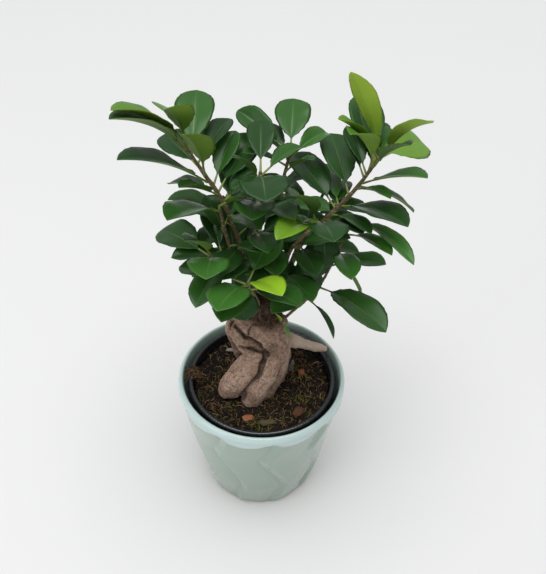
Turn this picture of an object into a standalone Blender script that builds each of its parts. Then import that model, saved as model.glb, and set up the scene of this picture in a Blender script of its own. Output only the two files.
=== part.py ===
"""A small ficus bonsai with swollen roots, growing in a plastic nursery pot
that stands inside a glazed ceramic cover pot.

Z is up, the origin is the centre of the cover pot's flat underside, and the
side that is looked at most faces -Y.  Sizes are written in millimetres and
turned into metres when a mesh is made.
"""
import math

import bmesh
import bpy
from mathutils import Vector, noise
from mathutils.bvhtree import BVHTree

MM = 0.001

# ---- driving dimensions, millimetres ---------------------------------------
POT_HEIGHT = 121.0          # cover pot, floor to lip
POT_LIP_R = 69.5            # outside of the rolled lip
POT_MOUTH_R = 66.0          # inside edge of the lip
POT_FOOT_R = 47.0           # outside of the flat foot
POT_WALL = 4.5
POT_FLOOR = 6.0
NURSERY_RIM_R = 61.1        # outside of the bead of the inner pot
NURSERY_TOP = 118.2
NURSERY_BASE_R = 41.0
NURSERY_WALL = 1.3
DRAIN_HOLE_R = 4.0
DRAIN_HOLES = 6
GAP = 0.3                   # clearance left between pieces that touch
SOIL_TOP = 110.0            # mean height of the soil
SOIL_ROLL = 1.2             # how far the soil rises and falls
TRUNK_VOXEL = 1.3
TRUNK_FACES = 2800
LEAF_THICK = 0.8
PETIOLE_R = 0.8
PETIOLE_LEN = 9.0
STEPS = 40                  # sides of the turned pieces

COLOURS = {
    "ceramic": (0.50, 0.66, 0.62, 0.12),
    "black plastic": (0.012, 0.012, 0.014, 0.45),
    "soil": (0.025, 0.017, 0.011, 0.95),
    "root bark": (0.27, 0.21, 0.17, 0.80),
    "twig bark": (0.20, 0.17, 0.07, 0.70),
    "leaf": (0.035, 0.13, 0.022, 0.28),
    "young leaf": (0.26, 0.42, 0.02, 0.30),
}

# Swollen roots and trunk: each limb is a line of (x, y, z, radius).
LIMBS = [
    # trunk, from the buried crown of the roots up to the rough stump
    [(4, 7, 108, 12), (4, 7, 132, 12.5), (5, 4, 152, 13.5), (4, 1, 168, 13.5),
     (3, 0, 182, 12.5), (2, -1, 196, 10)],
    # the big pear-shaped root at the front left
    [(-3, -14, 153, 7.5), (-8, -16, 145, 11.5), (-15, -17, 134, 13.4),
     (-22, -17, 124, 11.4), (-28, -16, 116, 8.2)],
    # the thick root beside it, going down to the front
    [(13, -8, 152, 8.6), (11, -9, 139, 9.6), (8, -11, 126, 9.4),
     (3, -14, 113, 9.0), (0, -15, 105, 7.5)],
    # a slimmer root tucked in behind its right side
    [(15, -2, 149, 7.4), (16, -1, 134, 6.4), (15, 2, 118, 6), (14, 3, 106, 6)],
    # two roots lying across the left shoulder
    [(-24, 1, 174, 4.8), (-21.5, -4, 171, 6.4), (-16, -9, 165, 7.0),
     (-10, -13, 159, 5.6)],
    [(-17, 3, 181, 5.4), (-12, -2, 174, 7.4), (-6, -6.5, 166, 7.0)],
    # a root that drops away at the back left
    [(-24, 7, 167, 5.6), (-25, 16, 152, 6.2), (-21, 25, 130, 7), (-18, 29, 108, 6.6)],
    # knots of callus in the middle of the front
    [(4, -10.5, 164, 4.6), (8, -11, 159, 5.2), (5, -11, 155, 4.4)],
    [(13, -5, 168, 6), (16, -3, 158, 6)],
    # the side root that reaches out over the rim of the inner pot
    [(11, 4, 160, 9), (20, 6, 154, 6.2), (31, 12, 144, 4.7), (44, 19, 133, 3.9),
     (52, 24.5, 126, 3.1), (56, 27, 123, 2.4)],
    # roots at the back
    [(2, 10, 152, 12), (4, 20, 130, 10), (7, 26, 108, 8)],
    [(12, 12, 142, 9), (18, 22, 122, 7), (19, 28, 107, 6)],
    # short collar under the graft
    [(-7, -3, 180, 6), (9, -6, 179, 6.5), (13, 2, 176, 6.5)],
]

# Shoots: (name, radius at the base, radius at the tip, points along it)
SHOOTS = {
    "left": (2.3, 1.2, [(-6, 3, 200), (-15, 2, 242), (-28, 4, 282), (-36, 4, 293),
                        (-40, 4, 301), (-46, 5, 310), (-51, 6, 319)]),
    "top": (2.0, 1.1, [(3, 5, 200), (2, 15, 243), (10, 25, 278), (16, 30, 305)]),
    "centre": (1.9, 1.1, [(-1, -2, 200), (-6, 0, 252), (-5, 0, 280), (-3, -2, 305)]),
    "near_right": (1.9, 1.1, [(5, -3, 200), (18, -5, 249), (35, -10, 275)]),
    "right": (2.6, 1.2, [(9, 2, 198), (25, 10, 243), (48, 15, 269), (54, 15, 277),
                         (59, 15, 284), (63, 15, 290), (68, 15, 300), (74, 15, 310)]),
    "side": (1.3, 0.9, [(12, 0, 176), (32, 5, 196), (43, 8, 210), (48, 10, 223),
                        (52, 10, 238), (57, 12, 251), (61, 14, 261)]),
    "front": (1.8, 1.1, [(-3, -7, 199), (-7, -18, 221), (-10, -30, 238)]),
    "low_left": (1.8, 1.0, [(-8, -4, 196), (-20, -10, 229), (-26, -14, 247),
                            (-37, -18, 251)]),
    "mid_left": (1.8, 1.1, [(-8, -1, 200), (-20, -4, 235), (-27, -3, 262),
                            (-30, -2, 280)]),
    "back_left": (1.9, 1.1, [(-4, 7, 198), (-16, 26, 232), (-32, 42, 262)]),
    "back": (1.9, 1.1, [(1, 7, 198), (3, 34, 234), (5, 52, 264)]),
    "back_right": (1.9, 1.1, [(6, 7, 198), (22, 30, 234), (42, 46, 264)]),
}

# Leaves that are pieces of their own:
# (name, shoot, place along the shoot 0..1, heading, rise, length, width, arch, fold, roll)
# heading is counted from +X towards +Y, rise is the slope of the line from the
# foot of the stalk to the tip; all angles in degrees, lengths in millimetres.
LEAVES = [
    ("left_a", "left", 1.00, 226, 34, 56, 22, 40, 22, 0),
    ("left_b", "left", 0.96, 225, 32, 58, 24, 40, 22, 0),
    ("left_c", "left", 0.93, 92, 24, 54, 27, 15, 14, 0),
    ("left_d", "left", 0.98, 250, 34, 46, 24, 70, 20, 0),
    ("left_e", "left", 0.84, 130, 9, 44, 22, 20, 22, 20),
    ("left_g", "left", 0.80, 250, 54, 44, 26, 50, 18, 0),
    ("left_h", "left", 0.77, 221, 28, 66, 28, 30, 18, 0),
    ("left_j", "left", 0.68, 240, 30, 44, 16, 20, 30, 0),
    ("top_a", "top", 1.00, 88, 20, 50, 26, 15, 14, 0),
    ("top_b", "top", 0.98, 142, 20, 48, 20, 25, 30, 30),
    ("top_c", "top", 0.95, 53, 4, 42, 16, 40, 28, -20),
    ("centre_a", "centre", 1.00, 92, 8, 46, 20, 15, 20, 0),
    ("centre_b", "left", 0.70, 62, 24, 52, 29, 20, 16, 0),
    ("centre_c", "centre", 0.97, 55, 2, 46, 16, 25, 32, 0),
    ("centre_d", "centre", 0.98, 276, 6, 43, 31, 40, 12, 0),
    ("centre_e", "centre", 0.80, 268, 12, 40, 26, 30, 18, 0),
    ("centre_f", "centre", 0.74, 304, 22, 43, 22, 25, 22, 0),
    ("centre_g", "mid_left", 1.00, 311, 25, 42, 20, 20, 20, 0),
    ("mid_left_a", "mid_left", 0.95, 245, 22, 60, 26, 25, 20, 0),
    ("near_a", "near_right", 0.98, 231, 45, 44, 22, 40, 24, 0),
    ("near_b", "near_right", 1.00, 275, 14, 40, 24, 35, 14, 0),
    ("near_c", "near_right", 0.92, 238, 16, 46, 18, 60, 20, 10),
    ("right_a", "right", 0.99, 48, -6, 50, 30, 20, 14, -30),
    ("right_b", "right", 0.97, 310, 45, 48, 19, 45, 22, 15),
    ("right_c", "right", 0.95, 97, 24, 60, 25, 12, 16, 0),
    ("right_d", "right", 1.00, 205, 62, 62, 23, 30, 18, -35),
    ("right_e", "right", 0.96, 112, 28, 58, 17, 15, 26, 0),
    ("right_f", "right", 0.98, 208, 42, 46, 16, 30, 28, 0),
    ("right_g", "right", 0.94, 234, 40, 48, 24, 55, 20, 0),
    ("right_h", "right", 0.74, 100, 16, 62, 26, 12, 18, 0),
    ("right_i", "right", 0.83, 309, 26, 54, 20, 20, 20, 0),
    ("right_j", "right", 0.67, 306, 13, 60, 25, 30, 16, 0),
    ("right_k", "right", 0.64, 122, 15, 60, 28, 20, 18, 0),
    ("side_a", "side", 1.00, 301, 2, 62, 14, 50, 22, 0),
    ("side_b", "side", 0.90, 297, 20, 52, 14, 30, 24, 0),
    ("side_c", "side", 0.76, 276, 10, 46, 19, 35, 20, 0),
    ("side_d", "side", 0.43, 314, -3, 62, 28, 35, 16, 0),
    ("front_a", "front", 1.00, 66, 26, 40, 27, 15, 14, 0),
    ("front_b", "front", 0.98, 305, 21, 41, 20, 50, 16, 0),
    ("front_c", "front", 0.96, 251, 16, 48, 27, 35, 14, 0),
    ("front_d", "front", 0.74, 308, 20, 54, 24, 30, 18, 0),
    ("front_e", "front", 0.94, 160, 2, 48, 26, 30, 16, 0),
    ("low_a", "low_left", 0.98, 136, -6, 52, 27, 20, 16, 15),
    ("low_b", "low_left", 0.94, 271, 16, 43, 27, 35, 14, 0),
]

# Smaller and hidden leaves, grown together with their shoot:
# (shoot, place along it, heading, rise, length, width, arch, fold, roll)
SPRIG_LEAVES = [
    ("left", 0.88, 68, 15, 48, 18, 20, 22, 0),
    ("left", 0.84, 95, 10, 44, 18, 20, 20, 0),
    ("left", 0.74, 82, 18, 46, 18, 20, 20, 0),
    ("left", 0.72, 142, -16, 48, 16, 20, 24, 0),
    ("top", 0.94, 120, 14, 42, 17, 20, 20, 0),
    ("top", 0.90, 223, 40, 36, 15, 30, 22, 0),
    ("top", 0.86, 308, 34, 36, 12, 30, 24, 0),
    ("centre", 0.94, 229, 44, 34, 12, 30, 24, 0),
    ("centre", 0.90, 240, 20, 32, 12, 30, 20, 0),
    ("near_right", 0.94, 250, 28, 30, 13, 40, 20, 0),
    ("right", 0.94, 288, 30, 42, 18, 30, 20, 0),
    ("right", 0.92, 70, 16, 44, 20, 20, 18, 0),
    ("right", 0.90, 85, 24, 54, 18, 20, 20, 0),
    ("right", 0.86, 107, 22, 44, 10, 15, 26, 0),
    ("right", 0.88, 98, 15, 42, 15, 20, 20, 0),
    ("right", 0.79, 294, 18, 42, 13, 25, 24, 0),
    ("right", 0.81, 20, -32, 56, 13, 30, 24, 0),
    ("right", 0.60, 302, 10, 44, 14, 30, 24, 0),
    ("right", 0.66, 96, 2, 45, 14, 20, 22, 0),
    ("side", 0.70, 16, -58, 46, 13, 20, 22, 0),
    ("side", 0.30, 315, -40, 36, 6, 70, 30, 0),
    ("front", 0.84, 251, 6, 46, 24, 30, 18, 0),
    ("front", 0.72, 45, 4, 46, 22, 20, 18, 0),
    ("low_left", 0.96, 236, 44, 34, 20, 40, 20, 0),
    ("low_left", 0.88, 54, -14, 44, 17, 20, 20, 0),
    ("low_left", 0.80, 252, 2, 48, 20, 30, 18, 0),
    ("low_left", 0.84, 88, 4, 42, 17, 20, 20, 0),
    ("mid_left", 0.80, 60, -10, 42, 16, 30, 20, 0),
]

# The shoots at the back carry leaves in an ordinary spiral.
BACK_SHOOTS = ("back_left", "back", "back_right")
BACK_LEAVES = 8
GOLDEN = 137.5

# Leaves lower down inside the crown, also in a spiral: shoot, how many,
# heading of the first.
INNER = [("left", 5, 250), ("mid_left", 4, 290), ("centre", 5, 230), ("top", 4, 280),
         ("near_right", 4, 300), ("right", 5, 250), ("side", 2, 200)]

YOUNG = {"front_b", "near_c", "right_f", "right_a"}


# ---- small helpers -----------------------------------------------------------
def clear_scene():
    for ob in list(bpy.data.objects):
        bpy.data.objects.remove(ob, do_unlink=True)


def material(name):
    mat = bpy.data.materials.get(name)
    if mat is None:
        r, g, b, rough = COLOURS[name]
        mat = bpy.data.materials.new(name)
        mat.use_nodes = True
        bsdf = mat.node_tree.nodes["Principled BSDF"]
        bsdf.inputs["Base Color"].default_value = (r, g, b, 1.0)
        bsdf.inputs["Roughness"].default_value = rough
        mat.diffuse_color = (r, g, b, 1.0)
    return mat


def add_object(name, bm, *mats, smooth=True):
    """Put a bmesh whose sizes are in millimetres into the scene, in metres."""
    bmesh.ops.scale(bm, vec=(MM, MM, MM), verts=bm.verts)
    bmesh.ops.recalc_face_normals(bm, faces=bm.faces)
    mesh = bpy.data.meshes.new(name)
    bm.to_mesh(mesh)
    bm.free()
    for poly in mesh.polygons:
        poly.use_smooth = smooth
    for mat in mats:
        mesh.materials.append(material(mat))
    ob = bpy.data.objects.new(name, mesh)
    bpy.context.collection.objects.link(ob)
    return ob


def from_object(ob):
    """A bmesh, in millimetres, of an object as it stands."""
    bm = bmesh.new()
    bm.from_mesh(ob.data)
    bmesh.ops.scale(bm, vec=(1 / MM, 1 / MM, 1 / MM), verts=bm.verts)
    return bm


def evaluated(ob, modifiers):
    """A new mesh: the object's with the given modifiers worked in."""
    for kind, values in modifiers:
        mod = ob.modifiers.new(kind, kind)
        for key, value in values.items():
            setattr(mod, key, value)
    graph = bpy.context.evaluated_depsgraph_get()
    mesh = bpy.data.meshes.new_from_object(ob.evaluated_get(graph))
    ob.modifiers.clear()
    return mesh


def turned(profile, steps=STEPS):
    """A closed solid turned about Z from a closed profile of (radius, z)."""
    bm = bmesh.new()
    rings = []
    for r, z in profile:
        if r < 1e-6:
            rings.append([bm.verts.new((0, 0, z))])
        else:
            rings.append([bm.verts.new((r * math.cos(2 * math.pi * k / steps),
                                        r * math.sin(2 * math.pi * k / steps), z))
                          for k in range(steps)])
    for a, b in zip(rings, rings[1:] + rings[:1]):
        if len(a) == 1 and len(b) == 1:
            continue
        for k in range(steps):
            j = (k + 1) % steps
            quad = [a[k % len(a)], a[j % len(a)], b[j % len(b)], b[k % len(b)]]
            bm.faces.new(list(dict.fromkeys(quad)))
    return bm


def path_point(points, t):
    """The place and direction at the fraction t of a bent line."""
    pts = [Vector(p) for p in points]
    spans = [(b - a).length for a, b in zip(pts, pts[1:])]
    left = t * sum(spans)
    for a, b, span in zip(pts, pts[1:], spans):
        if left <= span or b is pts[-1]:
            return a.lerp(b, min(left / span, 1.0)), (b - a).normalized()
        left -= span


def frame_on(direction, up=Vector((0, 0, 1))):
    """Two directions square to the given one: a side and an upper side."""
    side = direction.cross(up)
    if side.length < 1e-4:
        side = direction.cross(Vector((1, 0, 0)))
    side.normalize()
    return side, side.cross(direction).normalized()


def tube(bm, stations, sides=6):
    """A closed round bar through (point, radius) stations, with pointed-dome ends."""
    rings = []
    count = len(stations)
    for i, (p, r) in enumerate(stations):
        a = stations[max(i - 1, 0)][0]
        b = stations[min(i + 1, count - 1)][0]
        side, up = frame_on((b - a).normalized(), Vector((0.3, 1, 0.2)))
        rings.append([bm.verts.new(p + r * (math.cos(2 * math.pi * k / sides) * side
                                            + math.sin(2 * math.pi * k / sides) * up))
                      for k in range(sides)])
    for a, b in zip(rings, rings[1:]):
        for k in range(sides):
            j = (k + 1) % sides
            bm.faces.new([a[k], a[j], b[j], b[k]])
    for ring, (p, r), other in ((rings[0], stations[0], stations[1]),
                                (rings[-1], stations[-1], stations[-2])):
        out = (p - other[0]).normalized()
        tip = bm.verts.new(p + out * r * 0.6)
        for k in range(sides):
            bm.faces.new([ring[k], ring[(k + 1) % sides], tip])
    return bm


# ---- leaves --------------------------------------------------------------------
BLADE = [(0.00, 0.07), (0.20, 0.64), (0.44, 1.00), (0.70, 0.84), (0.91, 0.32)]


def leaf_rings(foot, heading, rise, length, width, arch, fold, roll):
    """Cross-sections of a leaf: the stalk, then the blade, then the tip."""
    h, e = math.radians(heading), math.radians(rise)
    chord = Vector((math.cos(e) * math.cos(h), math.cos(e) * math.sin(h), math.sin(e)))
    side, up = frame_on(chord)
    turn = math.radians(roll)
    side, up = (math.cos(turn) * side + math.sin(turn) * up,
                math.cos(turn) * up - math.sin(turn) * side)
    bend, crease = math.radians(arch), math.radians(fold)
    stalk = PETIOLE_LEN * min(1.0, length / 45.0)
    blade = length - stalk

    def along(s):                       # the bent midline, at the distance s
        steps = 12
        p = Vector((0, 0, 0))
        for k in range(steps):
            q = (k + 0.5) / steps * s
            a = bend * (0.5 - max(0.0, q - stalk * 0.5) / (length - stalk * 0.5))
            p += (math.cos(a) * chord + math.sin(a) * up) * (s / steps)
        return p

    scale = length / along(length).length
    rings = []
    for s, half in [(0.0, PETIOLE_R)] + [(stalk + f * blade, w * width / 2)
                                         for f, w in BLADE]:
        p = foot + scale * along(s)
        a = bend * (0.5 - max(0.0, s - stalk * 0.5) / (length - stalk * 0.5))
        normal = math.cos(a) * up - math.sin(a) * chord
        half = max(half, PETIOLE_R * 0.9)
        thick = LEAF_THICK / 2 if s > stalk + 1 else PETIOLE_R * 0.85
        if s > stalk + 0.9 * blade:
            thick *= 0.6
        lift = crease if s > stalk + 1 else 0.15
        edge = half * math.sin(lift) * normal
        rings.append([p - half * math.cos(lift) * side + edge, p + thick * normal,
                      p + half * math.cos(lift) * side + edge, p - thick * normal])
    return rings, foot + scale * along(length)


def add_leaf(bm, rings, tip):
    made = [[bm.verts.new(p) for p in ring] for ring in rings]
    point = bm.verts.new(tip)
    for a, b in zip(made, made[1:]):
        for k in range(4):
            j = (k + 1) % 4
            bm.faces.new([a[k], a[j], b[j], b[k]])
    for k in range(4):
        bm.faces.new([made[-1][k], made[-1][(k + 1) % 4], point])
    bm.faces.new(made[0])
    return made


def leaf_bmesh(*shape):
    bm = bmesh.new()
    add_leaf(bm, *leaf_rings(*shape))
    bmesh.ops.triangulate(bm, faces=bm.faces)
    return bm


class Space:
    """The solids placed so far, kept to find out whether a new one has room."""

    def __init__(self):
        self.items = []

    def add(self, name, bm):
        tree = BVHTree.FromBMesh(bm)
        pts = [v.co.copy() for v in bm.verts]
        lo = Vector([min(p[i] for p in pts) for i in range(3)])
        hi = Vector([max(p[i] for p in pts) for i in range(3)])
        self.items.append((name, tree, pts, lo, hi))

    def free(self, bm, skip=(), room=GAP, only=None):
        tree = BVHTree.FromBMesh(bm)
        pts = [v.co for v in bm.verts]
        mids = [(e.verts[0].co + e.verts[1].co) / 2 for e in bm.edges]
        lo = [min(p[i] for p in pts) - room for i in range(3)]
        hi = [max(p[i] for p in pts) + room for i in range(3)]
        for name, other, theirs, olo, ohi in self.items:
            if only is not None and name != only:
                continue
            if name in skip or any(lo[i] > ohi[i] or hi[i] < olo[i] for i in range(3)):
                continue
            if tree.overlap(other):
                return False
            for p in pts + mids:
                if other.find_nearest(p, room)[0] is not None:
                    return False
            for p in theirs:
                if tree.find_nearest(p, room)[0] is not None:
                    return False
        return True


NUDGES = [(0, 0, 0)] + [(dh, dr, cut)
                        for cut in (0, 4, 8, 14)
                        for size in (5, 10, 16, 24, 34)
                        for dh, dr in ((size, 0), (-size, 0), (0, size), (0, -size),
                                       (size, size), (-size, size), (size, -size),
                                       (-size, -size))]


def place_leaf(space, foot_at, heading, rise, length, width, arch, fold, roll, skip=(),
               own=None):
    """The leaf nearest to the wanted one that clears everything placed so far.

    A leaf that is a piece of its own is slid out along its stalk until it just
    clears the shoot it grows on.
    """
    for dh, dr, cut in NUDGES:
        h, e = heading + dh, rise + dr
        size = length - cut
        if size < 22:
            continue
        slide = 0.0
        while slide < 3.0:
            shape = (foot_at(h, e, slide), h, e, size, width * size / length, arch, fold,
                     roll)
            bm = leaf_bmesh(*shape)
            if own is None or space.free(bm, only=own):
                break
            bm.free()
            slide += 0.15
        else:
            continue
        if space.free(bm, skip):
            return bm, shape, (dh, dr, cut)
        bm.free()
    return None, None, None


# ---- pots and soil ---------------------------------------------------------------
def make_cover_pot():
    lip_z = POT_HEIGHT
    profile = [
        (0, 0), (POT_FOOT_R - 1.5, 0), (POT_FOOT_R, 1.2), (50.0, 8), (55.2, 34),
        (60.6, 66), (65.4, 95), (67.4, 107), (POT_LIP_R - 0.7, 112.0), (POT_LIP_R, 115.5),
        (POT_LIP_R - 0.2, 118.6), (POT_LIP_R - 1.4, lip_z - 0.5), (POT_MOUTH_R + 1.2, lip_z),
        (POT_MOUTH_R, lip_z - 1.2), (POT_MOUTH_R - 0.6, lip_z - 5), (62.9, 107),
        (60.9, 95), (56.1, 66), (50.7, 34), (46.0, POT_FLOOR + 4), (43.5, POT_FLOOR),
        (0, POT_FLOOR)]
    return add_object("cover_pot", turned(profile), "ceramic")


def nursery_inner(z):
    """The inside radius of the nursery pot at the height z."""
    base = POT_FLOOR + GAP
    t = (z - base) / (NURSERY_TOP - 4 - base)
    return NURSERY_BASE_R + t * (NURSERY_RIM_R - 2.0 - NURSERY_BASE_R) - NURSERY_WALL


def make_nursery_pot():
    base = POT_FLOOR + GAP
    top = NURSERY_TOP
    rim = NURSERY_RIM_R
    profile = [
        (0, base), (NURSERY_BASE_R - 0.8, base), (NURSERY_BASE_R, base + 0.8),
        (rim - 2.0, top - 4.0), (rim - 0.3, top - 2.4), (rim, top - 1.3), (rim - 0.3, top - 0.4),
        (rim - 1.1, top), (rim - 2.1, top - 0.3), (rim - 2.5, top - 1.2),
        (nursery_inner(top - 4), top - 4.0), (nursery_inner(base + 3), base + 3.0),
        (nursery_inner(base + 3) - 1.2, base + NURSERY_WALL + 0.2), (0, base + NURSERY_WALL + 0.2)]
    pot = add_object("nursery_pot", turned(profile), "black plastic")
    cutter = bmesh.new()
    for k in range(DRAIN_HOLES):
        a = 2 * math.pi * (k + 0.5) / DRAIN_HOLES
        made = bmesh.ops.create_cone(cutter, segments=8, radius1=DRAIN_HOLE_R,
                                     radius2=DRAIN_HOLE_R, depth=20, cap_ends=True)
        bmesh.ops.translate(cutter, vec=(27 * math.cos(a), 27 * math.sin(a), base),
                            verts=made["verts"])
    holes = add_object("drain_cutter", cutter, "black plastic")
    pot.data = evaluated(pot, [("BOOLEAN", dict(operation="DIFFERENCE", solver="EXACT",
                                                object=holes))])
    bpy.data.objects.remove(holes, do_unlink=True)
    return pot


def soil_height(x, y):
    """The soil is a little higher in the middle and softly uneven."""
    r = math.hypot(x, y)
    wave = noise.noise(Vector((x * 0.045, y * 0.045, 3.1)))
    wave += 0.5 * noise.noise(Vector((x * 0.11, y * 0.11, 7.7)))
    return SOIL_TOP + 1.0 - 2.0 * (r / 56.0) ** 2 + SOIL_ROLL * wave


def make_soil(trunk):
    bm = bmesh.new()
    floor = POT_FLOOR + GAP + NURSERY_WALL + 0.2 + GAP
    steps, rings = 30, 7
    edge = nursery_inner(SOIL_TOP - 1.5) - GAP - 0.15
    centre = bm.verts.new((0, 0, soil_height(0, 0)))
    previous = None
    for i in range(1, rings + 1):
        r = edge * i / rings
        ring = []
        for k in range(steps):
            x, y = r * math.cos(2 * math.pi * k / steps), r * math.sin(2 * math.pi * k / steps)
            ring.append(bm.verts.new((x, y, soil_height(x, y) if i < rings else SOIL_TOP - 1.5)))
        for k in range(steps):
            j = (k + 1) % steps
            if previous is None:
                bm.faces.new([centre, ring[k], ring[j]])
            else:
                bm.faces.new([previous[k], ring[k], ring[j], previous[j]])
        previous = ring
    for r, z in ((nursery_inner(floor + 5) - GAP - 0.3, floor + 3.0),
                 (nursery_inner(floor + 5) - GAP - 2.6, floor)):
        ring = [bm.verts.new((r * math.cos(2 * math.pi * k / steps),
                              r * math.sin(2 * math.pi * k / steps), z)) for k in range(steps)]
        for k in range(steps):
            j = (k + 1) % steps
            bm.faces.new([previous[k], ring[k], ring[j], previous[j]])
        previous = ring
    bm.faces.new(list(reversed(previous)))
    bmesh.ops.triangulate(bm, faces=bm.faces)
    soil = add_object("soil", bm, "soil")
    swollen = from_object(trunk)
    for v in swollen.verts:
        v.co += v.normal * (GAP + 0.15)
    cutter = add_object("root_cutter", swollen, "soil")
    soil.data = evaluated(soil, [("BOOLEAN", dict(operation="DIFFERENCE", solver="EXACT",
                                                  use_self=True, object=cutter))])
    bpy.data.objects.remove(cutter, do_unlink=True)
    keep_largest(soil)
    return soil


def keep_largest(ob):
    """Drop every loose scrap but the biggest shell of an object's mesh."""
    bm = bmesh.new()
    bm.from_mesh(ob.data)
    bmesh.ops.remove_doubles(bm, verts=bm.verts, dist=1e-7)
    seen, shells = set(), []
    for start in bm.verts:
        if start in seen:
            continue
        stack, shell = [start], []
        seen.add(start)
        while stack:
            v = stack.pop()
            shell.append(v)
            for e in v.link_edges:
                w = e.other_vert(v)
                if w not in seen:
                    seen.add(w)
                    stack.append(w)
        shells.append(shell)
    shells.sort(key=len)
    for shell in shells[:-1]:
        bmesh.ops.delete(bm, geom=shell, context="VERTS")
    bm.to_mesh(ob.data)
    bm.free()


# ---- trunk -----------------------------------------------------------------------
def make_trunk():
    bm = bmesh.new()
    for limb in LIMBS:
        for (x0, y0, z0, r0), (x1, y1, z1, r1) in zip(limb, limb[1:]):
            a, b = Vector((x0, y0, z0)), Vector((x1, y1, z1))
            count = max(2, int((b - a).length / 1.5))
            for k in range(count + 1):
                t = k / count
                made = bmesh.ops.create_icosphere(bm, subdivisions=2,
                                                  radius=r0 + t * (r1 - r0))
                bmesh.ops.translate(bm, vec=a.lerp(b, t), verts=made["verts"])
    rough = add_object("trunk", bm, "root bark")
    mesh = evaluated(rough, [
        ("REMESH", dict(mode="VOXEL", voxel_size=TRUNK_VOXEL * MM)),
        ("SMOOTH", dict(factor=0.5, iterations=2)),
    ])
    rough.data = mesh
    keep_largest(rough)
    shaped = from_object(rough)
    for v in shaped.verts:
        p = v.co
        lump = noise.noise(p * 0.06) * 1.1 + noise.noise(p * 0.16) * 0.5
        if p.z > 176 and p.x * p.x + p.y * p.y < 400:   # the stump is ragged
            lump += 1.3 * noise.noise(p * 0.35)
        if p.z > 110:
            v.co = p + v.normal * lump
    bpy.data.objects.remove(rough, do_unlink=True)
    full = add_object("trunk", shaped, "root bark")
    faces = len(full.data.polygons) * 2
    full.data = evaluated(full, [
        ("TRIANGULATE", {}),
        ("DECIMATE", dict(ratio=TRUNK_FACES / faces)),
    ])
    keep_largest(full)
    return full


# ---- shoots ----------------------------------------------------------------------
def shoot_stations(name, start):
    thick, thin, points = SHOOTS[name]
    count = max(5, int(len(points) * 1.5))
    stations = []
    for k in range(count + 1):
        t = start + (1 - start) * k / count
        p, _ = path_point(points, t)
        stations.append((p, thick + t * (thin - thick)))
    return stations


def make_all():
    clear_scene()
    trunk = make_trunk()
    make_cover_pot()
    make_nursery_pot()
    make_soil(trunk)

    space = Space()
    trunk_mm = from_object(trunk)
    trunk_mm.normal_update()
    space.add("trunk", trunk_mm)
    trunk_mm.free()

    starts, cores = {}, {}
    for name in SHOOTS:
        start = 0.0
        while True:
            bm = tube(bmesh.new(), shoot_stations(name, start))
            if space.free(bm, skip=[n for n in cores]):
                break
            bm.free()
            start += 0.005
        starts[name] = start
        cores[name] = bm
        if not space.free(bm, skip=["trunk"]):
            raise ValueError("two shoots meet: " + name)
        space.add(name, bm)

    def foot_outside(shoot, at):
        """The foot of a stalk that stops just short of its shoot."""
        thick, thin, points = SHOOTS[shoot]
        p, _ = path_point(points, min(at, 0.995))
        r = thick + at * (thin - thick)

        def foot(h, e, slide):
            a, b = math.radians(h), math.radians(e)
            d = Vector((math.cos(b) * math.cos(a), math.cos(b) * math.sin(a), math.sin(b)))
            return p + d * (r * 0.9 + GAP + slide)
        return foot

    for name, shoot, at, *shape in LEAVES:
        bm, final, moved = place_leaf(space, foot_outside(shoot, at), *shape, own=shoot)
        if bm is None:
            raise ValueError("no room for leaf " + name)
        if moved != (0, 0, 0):
            print("leaf", name, "moved", moved)
        space.add("leaf_" + name, bm)
        add_object("leaf_" + name, bm, "young leaf" if name in YOUNG else "leaf")

    grown = {name: [] for name in SHOOTS}
    for shoot, at, *shape in SPRIG_LEAVES:
        grown[shoot].append((at, shape))
    for n, shoot in enumerate(BACK_SHOOTS):
        for k in range(BACK_LEAVES):
            t = k / (BACK_LEAVES - 1)
            grown[shoot].append((0.42 + 0.57 * t,
                                 [90 + 50 * n + GOLDEN * k, -8 + 22 * t,
                                  52 - 10 * t, 23 - 5 * t, 28, 18, 0]))
    for shoot, count, first in INNER:
        for k in range(count):
            t = k / max(count - 1, 1)
            grown[shoot].append((0.36 + 0.26 * t,
                                 [first + GOLDEN * k, 4 + 14 * t, 42, 21, 30, 18, 0]))
    for shoot, leaves in grown.items():
        thick, thin, points = SHOOTS[shoot]
        parts = []
        for at, shape in leaves:
            p, _ = path_point(points, min(at, 0.97))
            bm, final, moved = place_leaf(space, lambda h, e, slide: p, *shape, skip=[shoot])
            if bm is None:
                print("left out a leaf of", shoot, at)
                continue
            if moved != (0, 0, 0):
                print("sprig leaf", shoot, at, "moved", moved)
            space.add("sprig", bm)
            parts.append(bm)
        core = cores[shoot]
        twig = add_object("twig_" + shoot, core, "twig bark", "leaf")
        for bm in parts:
            for face in bm.faces:
                face.material_index = 1
            leaf = add_object("grow", bm, "twig bark", "leaf")
            twig.data = evaluated(twig, [("BOOLEAN", dict(operation="UNION", solver="EXACT",
                                                          object=leaf))])
            bpy.data.objects.remove(leaf, do_unlink=True)


make_all()
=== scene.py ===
"""Looks of a small ficus bonsai with swollen roots, in a plastic nursery pot
that stands inside a glazed cover pot.  Laid out as an add-on, run as a script.
"""
import itertools
import math

import bmesh
import bpy
import numpy as np
from bpy.props import FloatProperty, FloatVectorProperty, IntProperty, PointerProperty
from mathutils import Matrix, Vector, noise
from mathutils.bvhtree import BVHTree


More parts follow.
